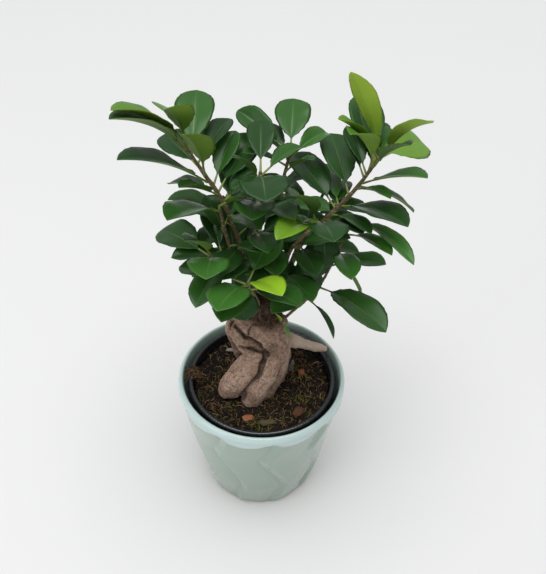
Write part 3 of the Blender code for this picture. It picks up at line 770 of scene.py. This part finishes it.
class BONSAI_OT_shoots(bpy.types.Operator):
    """Make the thin shoots with the small leaves that grow on them"""
    bl_idname = "bonsai.shoots"
    bl_label = "Shoots"

    def execute(self, context):
        tree = context.scene.bonsai_tree
        bark = twig_material(tree)
        mats = made_leaf_materials()
        for node in TWIG_NODES:
            bm = merged_copy(node)
            leaves = find_leaves(bm)
            name = node.replace("twig_", "")
            ages = [0.02 + 0.30 * ((number_of(name) + 7 * i) % 11) / 11
                    for i in range(len(leaves))]
            if leaves:
                ob = join_leaves("small_leaves_" + name, leaves, ages, mats,
                                 tree.leaf_thick, 0.0006)
                carry(ob, "leaf")
            bmesh.ops.delete(bm, geom=[v for leaf in leaves for v in leaf["verts"]],
                             context="VERTS")
            close_holes(bm)
            bmesh.ops.recalc_face_normals(bm, faces=bm.faces)
            mesh = bpy.data.meshes.new("shoot_" + name)
            bm.to_mesh(mesh)
            bm.free()
            ob = add_object("shoot_" + name, mesh)
            with_modifiers(ob, [("REMESH", dict(mode="VOXEL", voxel_size=0.00045)),
                                ("SMOOTH", dict(factor=0.5, iterations=4))])
            points, normals = read_skin(ob.data)
            knots = [0.00012 + 0.00022 * noise.noise(p * 420) + 0.0003 * noise.noise(p * 130)
                     for p in map(Vector, points)]
            points += normals * np.array(knots)[:, None]
            ob.data.vertices.foreach_set("co", points.ravel())
            ob.data.update()
            ob.data.materials.append(bark)
            shade_round(ob.data)
            carry(ob, "twig_bark", node)
        return {"FINISHED"}


# Deep creases between the grown-together roots: depth and width in millimetres, how dark the
# painted shade along them is, and a line of points in millimetres.
CREASES = [
    (2.8, 1.3, 1.0, [(-21, -5, 177), (-17, -8, 174), (-13, -11, 171), (-9, -12, 170),
                     (-4, -13, 167), (0, -11, 161), (2, -14, 160)]),
    (3.4, 1.6, 1.0, [(-17, -16, 164), (-14, -17, 164), (-9, -16, 164), (-5, -14, 161),
                     (0, -14, 160), (4, -15, 158), (6, -15, 154)]),
    (3.6, 1.5, 1.0, [(2, -15, 159), (2, -18, 155), (0, -22, 151), (-1, -25, 146),
                     (-4, -27, 141), (-8, -29, 136), (-12, -29, 129), (-16, -24, 113)]),
    (2.2, 1.1, 0.9, [(-23, -1, 178), (-25, -5, 176), (-26, -7, 171), (-24, -9, 168)]),
    (2.2, 1.2, 0.9, [(-2, -10, 186), (-6, -8, 180), (-10, -9, 176), (-11, -11, 173)]),
    (1.2, 1.1, 0.5, [(6, -15, 154), (10, -15, 154), (14, -16, 153)]),
    (1.6, 1.2, 0.6, [(14, -16, 152), (15, -16, 145), (13, -18, 139), (9, -19, 131),
                     (7, -20, 122)]),
    (1.2, 1.2, 0.4, [(16, -5, 177), (14, -7, 174), (14, -10, 171), (17, -10, 165),
                     (21, -6, 158)]),
]
# Rough knots: middle, radius and depth, in millimetres.
KNOTS = [((7, -15, 162), 5.0, 1.5), ((3, -12, 183), 7.0, 1.6), ((-9, -18, 162), 2.6, 1.4)]
SHADE_WIDTH = 0.88           # of the painted shade line along a crease, as a share of the crease's width
# The front root comes forward and to the left as it goes into the soil: middle and
# radius of the balls that its lower part is fused from, in millimetres.
ROOT_SPREAD = [(8, -16, 150, 7.6), (3, -21, 138, 8.6), (-3, -23, 126, 9.0),
               (-7, -22, 114, 9.0), (-8, -20, 103, 8.6)]


def distance_to_line(points, line):
    """Distance of each point from a line through a few places."""
    best = np.full(len(points), 1e9)
    for a, b in zip(line, line[1:]):
        way = b - a
        t = np.clip((points - a) @ way / (way @ way), 0, 1)[:, None]
        best = np.minimum(best, np.linalg.norm(points - a - t * way, axis=1))
    return best


def add_front_root(bm):
    """Add the row of balls that the lower part of the front root is fused from."""
    steps = 6
    for (x0, y0, z0, r0), (x1, y1, z1, r1) in zip(ROOT_SPREAD, ROOT_SPREAD[1:]):
        for k in range(steps + 1):
            t = k / steps
            made = bmesh.ops.create_icosphere(bm, subdivisions=3,
                                              radius=(r0 + t * (r1 - r0)) * MM)
            place = Vector((x0, y0, z0)).lerp(Vector((x1, y1, z1)), t) * MM
            bmesh.ops.translate(bm, vec=place, verts=made["verts"])


def carved(points):
    """At each point: the depth of the creases, how dark their painted shade is, and the pits."""
    sunk, crease_shade, pitted = (np.zeros(len(points)) for _ in range(3))
    for depth, width, dark, line in CREASES:
        away = distance_to_line(points, np.array(line, dtype=float))
        sunk = np.maximum(sunk, depth * np.exp(-(away / width) ** 2))
        crease_shade = np.maximum(crease_shade, dark * np.exp(-(away / width / SHADE_WIDTH) ** 2))
    for middle, radius, depth in KNOTS:
        away = np.linalg.norm(points - np.array(middle, dtype=float), axis=1)
        pitted = np.maximum(pitted, depth * np.exp(-(away / radius) ** 4))
    return sunk, crease_shade, pitted


def stump_share(p):
    """How much a place belongs to the rough stump, from 0 to 1."""
    share = smooth_step((p.z - 0.174) / 0.014) * smooth_step(
        (0.0190 - math.hypot(p.x - 0.003, p.y)) / 0.004)
    return max(share, smooth_step((p.z - 0.186) / 0.006))


# Directions in which a point looks round for skin near it: height, radius and angles.
LOOK_ROUND = ((0.95, 0.31, (0.3,)), (0.8, 0.6, (1.6, 3.7, 5.8)),
              (0.5, 0.87, (0.6, 1.9, 3.1, 4.4, 5.6)))
LOOK_START, LOOK_REACH = 0.0006, 0.009


def shut_in(mesh):
    """How shut in each point is by the skin around it, from 0 to 0.85."""
    bm = bmesh.new()
    bm.from_mesh(mesh)
    bvh = BVHTree.FromBMesh(bm)
    rays = [Vector((math.cos(a) * s, math.sin(a) * s, c))
            for c, s, angles in LOOK_ROUND for a in angles]
    shares = []
    for v in bm.verts:
        side = v.normal.orthogonal().normalized()
        other = v.normal.cross(side)
        start = v.co + v.normal * LOOK_START
        hits = 0
        for ray in rays:
            way = ray.x * side + ray.y * other + ray.z * v.normal
            if bvh.ray_cast(start, way, LOOK_REACH)[0] is not None:
                hits += 1
        shares.append(0.85 * smooth_step((hits / len(rays) - 0.25) / 0.60))
    bm.free()
    return shares


class BONSAI_OT_roots(bpy.types.Operator):
    """Make the swollen roots and the rough stump that carries the shoots"""
    bl_idname = "bonsai.roots"
    bl_label = "Roots and trunk"

    def execute(self, context):
        tree = context.scene.bonsai_tree
        bm = merged_copy("trunk")
        add_front_root(bm)
        mesh = bpy.data.meshes.new("roots")
        bm.to_mesh(mesh)
        bm.free()
        ob = with_modifiers(add_object("roots", mesh),
                            [("REMESH", dict(mode="VOXEL", voxel_size=0.00062)),
                             ("SMOOTH", dict(factor=0.5, iterations=7))])
        mesh = ob.data
        skin, normals = read_skin(mesh)
        points = skin / MM
        sunk, crease_shade, pitted = carved(points)
        stump, lift = [], []
        for i, p in enumerate(map(Vector, skin)):
            share = stump_share(p)
            lump = 0.8 * noise.noise(p * 90) + 0.5 * noise.noise(p * 220)
            wrinkle = abs(noise.noise(Vector((p.x * 160, p.y * 160, p.z * 480))))
            rough = noise.noise(Vector((p.x * 420, p.y * 420, p.z * 160)))
            pit = max(noise.noise(p * 520), -0.1) * pitted[i] + 0.12 * pitted[i]
            lift.append(tree.bark_grain * (lump - 0.6 * (0.5 - wrinkle))
                        + 0.0022 * share * rough - MM * (sunk[i] + pit))
            stump.append(min(share + 0.25 * pitted[i] * (0.5 + pit), 1.0))
        skin += normals * np.array(lift)[:, None]
        mesh.vertices.foreach_set("co", skin.ravel())
        mesh.update()
        # Painted shade: the crease attribute marks shut-in places and crease lines, where the
        # bark is darkened.
        write_values(mesh, {
            "crease": [max(pair) for pair in zip(shut_in(mesh), crease_shade)],
            "stump": stump,
            "pale": [smooth_step((p[0] - 18) / 12) for p in points]})
        mesh.materials.clear()
        mesh.materials.append(root_material(tree))
        shade_round(mesh)
        carry(ob, "root_bark", "trunk")
        top = mesh.copy()
        bm = bmesh.new()
        bm.from_mesh(top)
        bmesh.ops.delete(bm, geom=[v for v in bm.verts if stump[v.index] < 0.75],
                         context="VERTS")
        bm.to_mesh(top)
        bm.free()
        wisp = litter_material("stump fibres", (0.030, 0.017, 0.010), (0.22, 0.11, 0.055))
        carry(scatter("stump_fibres", top, "fibre", False, 420000.0, 0.35, 1.0, 0.0, 31,
                      wisp), "root_bark")
        bpy.data.meshes.remove(top)
        return {"FINISHED"}


# The outside of the cover pot's wall: radius and height.
POT_WALL = ((0.0470, 0.0012), (0.0500, 0.008), (0.0552, 0.034), (0.0606, 0.066),
            (0.0654, 0.095), (0.0674, 0.107), (0.0682, 0.112))
WALL_ROWS = 92              # rows of points up the wall
ROUND = 600                 # columns of points round a pot
FIRST_JOIN = 9.0            # where two waves meet under the lip, degrees from the front
# Where the waves of the relief turn: share of the height, spread and degrees.
RIDGE_TURNS = ((0.70, 0.11, -8.5), (0.30, 0.17, 11.5))
STEP = 0.19                 # width of a wave's steep side, as a share of the wave
LIP_RADIUS = 0.0692         # of the thick glaze that hangs over the relief


def ridge_shift(t):
    """How far, in degrees, the waves of the relief have turned at a share of the height."""
    return sum(degrees * math.exp(-((t - where) / spread) ** 2)
               for where, spread, degrees in RIDGE_TURNS)


def wall_radius(z):
    """Radius of the cover pot's plain wall at a height."""
    for (r0, z0), (r1, z1) in zip(POT_WALL, POT_WALL[1:]):
        if z <= z1 + 1e-9:
            return r0 + (r1 - r0) * (z - z0) / (z1 - z0)
    return POT_WALL[-1][0]


class BONSAI_OT_cover_pot(bpy.types.Operator):
    """Make the glazed cover pot with its wave relief and rolled lip"""
    bl_idname = "bonsai.cover_pot"
    bl_label = "Cover pot"

    def execute(self, context):
        pots = context.scene.bonsai_pot
        relief, lobes = pots.relief, pots.lobes
        top = POT_HIGH.z
        mouth = (POT_HIGH.x - POT_LOW.x) / 2 - 0.0035
        low, high = POT_WALL[0][1], POT_WALL[-1][1]
        profile = [(0.0, 0.0), (0.030, 0.0), (0.0445, 0.0), (0.0462, 0.0003)]
        wall_start = len(profile)
        for i in range(WALL_ROWS):
            z = low + (high - low) * i / (WALL_ROWS - 1)
            profile.append((wall_radius(z), z))
        wall_end = len(profile)
        profile += [(0.0687, 0.1135), (0.0691, 0.1150), (0.0692, 0.1165), (0.0691, 0.1180),
                    (0.0687, 0.1192), (0.0680, 0.1202), (0.0672, 0.1208), (0.0664, top)]
        outside_end = len(profile)
        profile += [(0.0657, 0.1208), (mouth - 0.0008, 0.1200), (mouth - 0.0012, 0.1180),
                    (0.0640, 0.112), (0.0624, 0.104), (0.0609, 0.095), (0.0561, 0.066),
                    (0.0507, 0.034), (0.0460, 0.010), (0.0435, 0.006), (0.020, 0.006),
                    (0.0, 0.006)]
        lip, foot, edge = [], [], []

        def shift(angle, r, z, index):
            t = z / top
            turned = math.degrees(angle) + 90 - FIRST_JOIN - ridge_shift(t)
            across = (turned / 360 * lobes) % 1.0
            rise = smooth_step(across / STEP) * (1.0 - across) ** 0.8
            # Painted shadow: a dark band along the foot of each wave's steep step.
            step_shadow = math.exp(-((across - 0.98) / 0.05) ** 2)
            hang = math.sin(math.pi * across) ** 0.8
            near_lip = smooth_step((z - (0.1136 - 0.0056 * hang)) / 0.0030)
            on_wall, outside = wall_start <= index < wall_end, index < outside_end
            body = 0.0
            if on_wall:
                fade = (0.15 + 0.85 * smooth_step(t / 0.10)) * (1 - near_lip)
                body = relief * (rise - 0.42) * fade
                body += near_lip * max(LIP_RADIUS - r, 0.0) * 0.9
            lip.append(near_lip if outside else 0.55)
            foot.append(1 - smooth_step((z - 0.001) / 0.011) if outside else 0.0)
            # edge holds the painted shadow at the foot of each step.
            edge.append(step_shadow * (1 - near_lip) if on_wall else 0.0)
            return r + body, z

        ob = turned_piece("glazed_pot", profile, ROUND, [glaze_material(pots)], shift)
        poles = {key: [data[0]] + data + [data[-1]]    # the first and last point are poles
                 for key, data in (("lip", lip), ("foot", foot), ("edge", edge))}
        write_values(ob.data, poles)
        set_outward(ob)
        carry(ob, "ceramic", "cover_pot")
        return {"FINISHED"}


class BONSAI_OT_nursery_pot(bpy.types.Operator):
    """Make the black plastic pot with its beaded rim"""
    bl_idname = "bonsai.nursery_pot"
    bl_label = "Nursery pot"

    def execute(self, context):
        pots = context.scene.bonsai_pot
        rim = (RIM_HIGH.x - RIM_LOW.x) / 2
        base, top = RIM_LOW.z, RIM_HIGH.z
        wall = 0.0013
        foot_r = 0.0410

        def wall_place(t, inwards=0.0):
            return (foot_r + t * (rim - 0.002 - foot_r) - inwards,
                    base + t * (top - 0.004 - base))

        heights = [i / 9 for i in range(1, 9)]
        profile = [(0.0, base), (foot_r - 0.0008, base), (foot_r, base + 0.0008)]
        profile += [wall_place(t) for t in heights]
        bead = [(rim - 0.0020, top - 0.0044)]
        centre_r, centre_z, r = rim - 0.0020, top - 0.0019, 0.0019
        for k in range(11):
            a = math.radians(-70 + 300 * k / 10)
            bead.append((centre_r + r * math.cos(a), centre_z + r * math.sin(a)))
        inner = [(rim - 0.0036, top - 0.0044)]
        inner += [wall_place(t, wall) for t in reversed(heights)]
        inner += [(foot_r - wall, base + 0.003), (foot_r - 0.004, base + wall),
                  (0.0, base + wall)]
        low, high = len(profile), len(profile) + len(bead)

        def shift(angle, radius, z, index):
            if low <= index < high:                    # fine slanting ridges on the bead
                wave = math.sin(angle * 150 + z * 900) + 0.5 * math.sin(angle * 67)
                radius += 0.00009 * wave
                z += 0.00009 * math.sin(angle * 150 + radius * 2000)
            return radius, min(z, top + 0.0003)

        ob = turned_piece("black_pot", profile + bead + inner, ROUND,
                          [plastic_material(pots)], shift)
        set_outward(ob)
        carry(ob, "black_plastic", "nursery_pot")
        return {"FINISHED"}


LOWEST_SOIL = 0.1075        # height of the soil where the roots were cut out of it
ABOVE_SOIL = 0.16


def soil_height(soil_tree, x, y):
    """Height of the soil at a place, closed over where the roots were cut out."""
    hit = soil_tree.ray_cast(Vector((x, y, ABOVE_SOIL)), Vector((0, 0, -1)))[0]
    return max(hit.z if hit else 0.0, LOWEST_SOIL)


class BONSAI_OT_soil(bpy.types.Operator):
    """Make the crumbly peat in the inner pot"""
    bl_idname = "bonsai.soil"
    bl_label = "Soil"

    def execute(self, context):
        soil = context.scene.bonsai_soil
        bm = merged_copy("soil")
        tree = BVHTree.FromBMesh(bm)
        edge = max(math.hypot(v.co.x, v.co.y) for v in bm.verts) - 0.0002
        floor = min(v.co.z for v in bm.verts)
        bm.free()
        rings, steps = 64, 300
        verts = [(0.0, 0.0, soil_height(tree, 0, 0))]
        faces = []
        for i in range(1, rings + 1):
            r = edge * i / rings
            for k in range(steps):
                a = 2 * math.pi * k / steps
                x, y = r * math.cos(a), r * math.sin(a)
                z = soil_height(tree, x * 0.985, y * 0.985)
                p = Vector((x, y, 0))
                z += 0.0016 * noise.noise(p * 190) + 0.0010 * noise.noise(p * 430)
                z += 0.0022 * noise.noise(p * 70 + Vector((3, 1, 0)))
                verts.append((x, y, z))
        for k in range(steps):
            faces.append((0, 1 + k, 1 + (k + 1) % steps))
        for i in range(rings - 1):
            for k in range(steps):
                a, b = 1 + i * steps, 1 + (i + 1) * steps
                j = (k + 1) % steps
                faces.append((a + k, b + k, b + j, a + j))
        last = 1 + (rings - 1) * steps
        foot_r = 0.0385
        low = len(verts)
        for k in range(steps):
            a = 2 * math.pi * k / steps
            verts.append((foot_r * math.cos(a), foot_r * math.sin(a), floor))
        for k in range(steps):
            j = (k + 1) % steps
            faces.append((last + k, low + k, low + j, last + j))
        faces.append(tuple(low + k for k in reversed(range(steps))))
        ob = make_object("peat_plug", verts, faces, [peat_material(soil)])
        set_outward(ob)
        carry(ob, "soil", "soil")
        return {"FINISHED"}


def input_socket(tree, name, kind, value=None):
    socket = tree.interface.new_socket(name=name, in_out="INPUT", socket_type=kind)
    if value is not None:
        socket.default_value = value
    return socket.identifier


def scatter_tree(name, shape, flat):
    """A geometry tree that scatters one small shape over a surface."""
    tree = bpy.data.node_groups.new(name, "GeometryNodeTree")
    ids = {"surface": input_socket(tree, "Surface", "NodeSocketGeometry"),
           "density": input_socket(tree, "Density", "NodeSocketFloat", 1000.0),
           "small": input_socket(tree, "Smallest", "NodeSocketFloat", 0.5),
           "large": input_socket(tree, "Largest", "NodeSocketFloat", 1.5),
           "patchy": input_socket(tree, "Patchy", "NodeSocketFloat", 0.0),
           "seed": input_socket(tree, "Seed", "NodeSocketInt", 1),
           "material": input_socket(tree, "Material", "NodeSocketMaterial")}
    tree.interface.new_socket(name="Geometry", in_out="OUTPUT",
                              socket_type="NodeSocketGeometry")
    new, link = tree.nodes.new, tree.links.new
    inp, out = new("NodeGroupInput"), new("NodeGroupOutput")
    points = new("GeometryNodeDistributePointsOnFaces")
    link(inp.outputs["Surface"], points.inputs["Mesh"])
    spots = new("ShaderNodeTexNoise")
    spots.inputs["Scale"].default_value = 75.0
    spots.inputs["Detail"].default_value = 1.0
    above = new("ShaderNodeMath")
    above.operation = "GREATER_THAN"
    link(spots.outputs["Fac"], above.inputs[0])
    link(inp.outputs["Patchy"], above.inputs[1])
    where = new("ShaderNodeMath")
    where.operation = "MULTIPLY"
    link(above.outputs[0], where.inputs[0])
    link(inp.outputs["Density"], where.inputs[1])
    link(where.outputs[0], points.inputs["Density"])
    link(inp.outputs["Seed"], points.inputs["Seed"])

    if shape == "fibre":
        line = new("GeometryNodeCurveQuadraticBezier")
        line.inputs["Resolution"].default_value = 6
        line.inputs["Start"].default_value = (-0.003, 0, 0)
        line.inputs["Middle"].default_value = (0, 0.0022, 0.0014)
        line.inputs["End"].default_value = (0.0032, 0, 0.0002)
        ring = new("GeometryNodeCurvePrimitiveCircle")
        ring.inputs["Resolution"].default_value = 4
        ring.inputs["Radius"].default_value = 0.00024
        body = new("GeometryNodeCurveToMesh")
        body.inputs["Fill Caps"].default_value = True
        link(line.outputs[0], body.inputs["Curve"])
        link(ring.outputs[0], body.inputs["Profile Curve"])
        instance = body.outputs[0]
    elif shape == "blade":
        cone = new("GeometryNodeMeshCone")
        cone.inputs["Vertices"].default_value = 4
        cone.inputs["Radius Top"].default_value = 0.00003
        cone.inputs["Radius Bottom"].default_value = 0.00032
        cone.inputs["Depth"].default_value = 0.0034
        instance = cone.outputs[0]
    elif shape == "chip":
        cube = new("GeometryNodeMeshCube")
        cube.inputs["Size"].default_value = (0.0034, 0.0017, 0.0006)
        instance = cube.outputs[0]
    else:
        ball = new("GeometryNodeMeshIcoSphere")
        ball.inputs["Radius"].default_value = 0.0009
        ball.inputs["Subdivisions"].default_value = 1
        instance = ball.outputs[0]

    turn = new("FunctionNodeRandomValue")
    turn.data_type = "FLOAT_VECTOR"
    tilt = 0.45 if flat else 0.6
    turn.inputs[0].default_value = (-tilt, -tilt, 0.0)
    turn.inputs[1].default_value = (tilt, tilt, 2 * math.pi)
    link(inp.outputs["Seed"], turn.inputs["Seed"])
    size = new("FunctionNodeRandomValue")
    link(inp.outputs["Smallest"], size.inputs[2])
    link(inp.outputs["Largest"], size.inputs[3])
    link(inp.outputs["Seed"], size.inputs["Seed"])
    shade = new("FunctionNodeRandomValue")
    place = new("GeometryNodeInstanceOnPoints")
    link(points.outputs["Points"], place.inputs["Points"])
    link(instance, place.inputs["Instance"])
    link(turn.outputs[0], place.inputs["Rotation"])
    link(size.outputs[1], place.inputs["Scale"])
    store = new("GeometryNodeStoreNamedAttribute")
    store.data_type = "FLOAT"
    store.domain = "INSTANCE"
    store.inputs["Name"].default_value = "shade"
    link(place.outputs[0], store.inputs["Geometry"])
    link(shade.outputs[1], store.inputs["Value"])
    real = new("GeometryNodeRealizeInstances")
    link(store.outputs[0], real.inputs[0])
    paint = new("GeometryNodeSetMaterial")
    link(real.outputs[0], paint.inputs["Geometry"])
    link(inp.outputs["Material"], paint.inputs["Material"])
    link(paint.outputs[0], out.inputs[0])
    return tree, ids


def scatter(name, surface, shape, flat, density, small, large, patchy, seed, material):
    """A plain mesh of many small shapes that lie on a surface."""
    tree, ids = scatter_tree(name, shape, flat)
    ob = add_object(name, surface.copy())
    mod = ob.modifiers.new("scatter", "NODES")
    mod.node_group = tree
    for key, value in (("density", density), ("small", small), ("large", large),
                       ("patchy", patchy), ("seed", seed), ("material", material)):
        mod[ids[key]] = value
    graph = bpy.context.evaluated_depsgraph_get()
    made = bpy.data.meshes.new_from_object(ob.evaluated_get(graph))
    ob.modifiers.clear()
    ground, ob.data = ob.data, made
    bpy.data.meshes.remove(ground)
    if not len(made.polygons):
        raise ValueError(name + " came out empty")
    return ob


def lumpy_chip(name, centre, size, turn, seed, material, shade):
    """A small stone or flake: a rounded box with an uneven skin."""
    bm = bmesh.new()
    bmesh.ops.create_icosphere(bm, subdivisions=3, radius=1.0)
    spin = Matrix.Rotation(turn[2], 3, "Z") @ Matrix.Rotation(turn[1], 3, "Y") @ \
        Matrix.Rotation(turn[0], 3, "X")
    for v in bm.verts:
        p = v.co.copy()
        box = Vector([math.copysign(abs(c) ** 0.85, c) for c in p])
        box *= 1 + 0.45 * noise.noise(p * 1.9 + Vector((seed, 0, 0)))
        v.co = spin @ Vector((box.x * size[0], box.y * size[1], box.z * size[2])) \
            + Vector(centre)
    mesh = bpy.data.meshes.new(name)
    bm.to_mesh(mesh)
    bm.free()
    mesh.materials.append(material)
    write_values(mesh, {"shade": [shade] * len(mesh.vertices)})
    shade_round(mesh)
    return add_object(name, mesh)


class BONSAI_OT_litter(bpy.types.Operator):
    """Scatter crumbs, root fibres, moss and bark chips over the soil"""
    bl_idname = "bonsai.litter"
    bl_label = "Litter on the soil"

    def execute(self, context):
        soil = context.scene.bonsai_soil
        bm = merged_copy("trunk")
        trunk = BVHTree.FromBMesh(bm)
        bm.free()
        bm = bmesh.new()
        bm.from_mesh(bpy.data.objects["peat_plug"].data)
        away = []
        for face in bm.faces:
            c = face.calc_center_median()
            if face.normal.z < 0.3 or c.z < 0.10 or math.hypot(c.x, c.y) > 0.0555:
                away.append(face)
            elif trunk.ray_cast(c + Vector((0, 0, -0.004)), Vector((0, 0, 1)), 0.012)[0]:
                away.append(face)
        bmesh.ops.delete(bm, geom=away, context="FACES")
        surface = bpy.data.meshes.new("litter ground")
        bm.to_mesh(surface)
        bm.free()
        dark = litter_material("peat crumbs", (0.003, 0.002, 0.0015), (0.040, 0.024, 0.014), 0.9)
        fibre = litter_material("root fibres", (0.018, 0.010, 0.005), soil.fibre)
        straw = litter_material("pale fibres", (0.16, 0.10, 0.045), (0.50, 0.36, 0.19))
        moss = litter_material("moss", (0.050, 0.065, 0.012), soil.moss)
        bark = litter_material("bark chips", (0.075, 0.035, 0.018), (0.42, 0.16, 0.07))
        brown = litter_material("bark bits", (0.030, 0.016, 0.009), (0.26, 0.115, 0.050))
        seed = soil.seed
        for name, shape, flat, density, small, large, patchy, mat in (
                ("peat_crumbs", "crumb", True, soil.crumb_density, 0.4, 1.5, 0.0, dark),
                ("root_fibres", "fibre", True, soil.fibre_density, 0.45, 1.25, 0.40, fibre),
                ("pale_fibres", "fibre", True, soil.fibre_density / 2, 0.35, 1.1, 0.0, straw),
                ("moss_blades", "blade", False, soil.moss_density, 0.5, 1.5, 0.55, moss),
                ("bark_bits", "chip", True, 7000.0, 0.4, 1.1, 0.0, brown)):
            seed += 1
            ob = scatter(name, surface, shape, flat, density, small, large, patchy, seed,
                         mat)
            carry(ob, "soil")
        bpy.data.meshes.remove(surface)
        clump = bmesh.new()
        bmesh.ops.create_grid(clump, x_segments=4, y_segments=4, size=0.0060)
        bmesh.ops.translate(clump, vec=(-0.0575, -0.001, 0.1180), verts=clump.verts)
        ground = bpy.data.meshes.new("clump ground")
        clump.to_mesh(ground)
        clump.free()
        carry(scatter("rim_fibres", ground, "fibre", False, 420000.0, 0.5, 1.5, 0.0, 41,
                      fibre), "soil")
        bpy.data.meshes.remove(ground)
        grey = litter_material("grey bark", (0.10, 0.075, 0.06), (0.30, 0.25, 0.21))
        pale = litter_material("pale wood", (0.20, 0.18, 0.15), (0.42, 0.39, 0.34))
        olive = litter_material("olive bark", (0.05, 0.045, 0.02), (0.13, 0.11, 0.05))
        for name, centre, size, turn, number, mat, shade in (
                ("pebble", (0.0335, 0.008, 0.1122), (0.0028, 0.0028, 0.0026),
                 (0, 0, 0), 1, bark, 0.8),
                ("orange_flake", (-0.009, -0.041, 0.1120), (0.0048, 0.0026, 0.0011),
                 (0.2, 0.3, 0.5), 2, bark, 1.0),
                ("brown_clod", (0.030, -0.034, 0.1122), (0.0048, 0.0036, 0.0024),
                 (0.2, 0.0, 0.7), 7, bark, 0.12),
                ("leaning_flake", (0.0245, 0.010, 0.1175), (0.0022, 0.0013, 0.0076),
                 (0.1, 0.12, 0.3), 4, grey, 0.7),
                ("pale_splinter", (-0.025, 0.033, 0.1122), (0.0075, 0.0018, 0.0012),
                 (0, 0, 0.05), 5, pale, 0.8),
                ("olive_chip", (0.006, -0.044, 0.1112), (0.0075, 0.0026, 0.0014),
                 (0, 0, 0.1), 6, olive, 0.7)):
            carry(lumpy_chip(name, centre, size, turn, number, mat, shade), "soil")
        return {"FINISHED"}


def aim(name, light, place):
    """Hang a light at a place and turn it to the middle of the tree."""
    ob = add_object(name, light)
    ob.location = place
    ob.rotation_euler = (Vector((0, 0, 0.15)) - Vector(place)).to_track_quat(
        "-Z", "Y").to_euler()


FLOOR_HALF = 9.0
FLOOR_Z = -0.0002           # just below the pot's foot
CAMERA_PLACE = (0.007, -0.320, 0.468)
CAMERA_PITCH = math.radians(38.7)
CAMERA_ROLL = math.radians(1.8)
CAMERA_LENS = 35.12


class BONSAI_OT_stage(bpy.types.Operator):
    """Put up the pale floor, the soft lights and the camera"""
    bl_idname = "bonsai.stage"
    bl_label = "Stage"

    def execute(self, context):
        scene = context.scene
        n = Nodes("pale floor")
        n.finish(n.mix(n.math("MULTIPLY", n.spots(1.5, 2.0), 0.25), (0.74, 0.74, 0.735),
                       (0.70, 0.70, 0.70)), 0.75, Specular_IOR_Level=0.2)
        corners = [(x * FLOOR_HALF, y * FLOOR_HALF, FLOOR_Z)
                   for x, y in ((-1, -1), (1, -1), (1, 1), (-1, 1))]
        floor = make_object("floor", corners, [(0, 1, 2, 3)], [n.mat])

        world = bpy.data.worlds.new("soft room")
        scene.world = world
        world.use_nodes = True
        back = world.node_tree.nodes["Background"]
        back.inputs[0].default_value = (0.97, 0.98, 1.0, 1.0)
        back.inputs[1].default_value = 0.40
        sun = bpy.data.lights.new("window light", "SUN")
        sun.energy = 2.35
        sun.angle = math.radians(60)
        aim("window light", sun, (-0.02, -0.25, 2.0))
        side = bpy.data.lights.new("side light", "AREA")
        side.energy = 5.0
        side.size = 0.9
        aim("side light", side, (-1.2, -0.9, 0.7))

        flat, tilt = math.cos(CAMERA_PITCH), math.sin(CAMERA_PITCH)
        ahead, up, right = Vector((0, flat, -tilt)), Vector((0, tilt, flat)), Vector((1, 0, 0))
        right, up = (math.cos(CAMERA_ROLL) * right + math.sin(CAMERA_ROLL) * up,
                     math.cos(CAMERA_ROLL) * up - math.sin(CAMERA_ROLL) * right)
        camera = bpy.data.cameras.new("camera")
        camera.sensor_width = 36.0
        camera.lens = CAMERA_LENS
        camera.clip_start = 0.01
        ob = add_object("camera", camera)
        ob.matrix_world = Matrix.LocRotScale(
            Vector(CAMERA_PLACE),
            Matrix((right, up, -ahead)).transposed().to_quaternion(), None)
        scene.camera = ob
        scene.view_settings.view_transform = "Standard"
        return {"FINISHED"}


OPERATORS = (BONSAI_OT_stage, BONSAI_OT_cover_pot, BONSAI_OT_nursery_pot, BONSAI_OT_soil,
             BONSAI_OT_litter, BONSAI_OT_roots, BONSAI_OT_leaves, BONSAI_OT_inner_leaves,
             BONSAI_OT_shoots)


class BONSAI_PT_panel(bpy.types.Panel):
    """Lists the steps that make the tree and its pots"""
    bl_idname = "BONSAI_PT_panel"
    bl_label = "Bonsai"
    bl_space_type = "VIEW_3D"
    bl_region_type = "UI"
    bl_category = "Bonsai"

    def draw(self, context):
        for group in ("bonsai_pot", "bonsai_tree", "bonsai_soil"):
            settings = getattr(context.scene, group)
            box = self.layout.box()
            for key in settings.bl_rna.properties.keys():
                if key not in ("rna_type", "name"):
                    box.prop(settings, key)
        for operator in OPERATORS:
            self.layout.operator(operator.bl_idname)


GROUPS = (BonsaiPotSettings, BonsaiTreeSettings, BonsaiSoilSettings)


def register():
    for cls in GROUPS + OPERATORS + (BONSAI_PT_panel,):
        bpy.utils.register_class(cls)
    bpy.types.Scene.bonsai_pot = PointerProperty(type=BonsaiPotSettings)
    bpy.types.Scene.bonsai_tree = PointerProperty(type=BonsaiTreeSettings)
    bpy.types.Scene.bonsai_soil = PointerProperty(type=BonsaiSoilSettings)


def unregister():
    for key in ("bonsai_pot", "bonsai_tree", "bonsai_soil"):
        delattr(bpy.types.Scene, key)
    for cls in reversed(GROUPS + OPERATORS + (BONSAI_PT_panel,)):
        bpy.utils.unregister_class(cls)


def main():
    register()
    for operator in OPERATORS:
        group, name = operator.bl_idname.split(".")
        getattr(getattr(bpy.ops, group), name)()


if __name__ == "__main__":
    main()
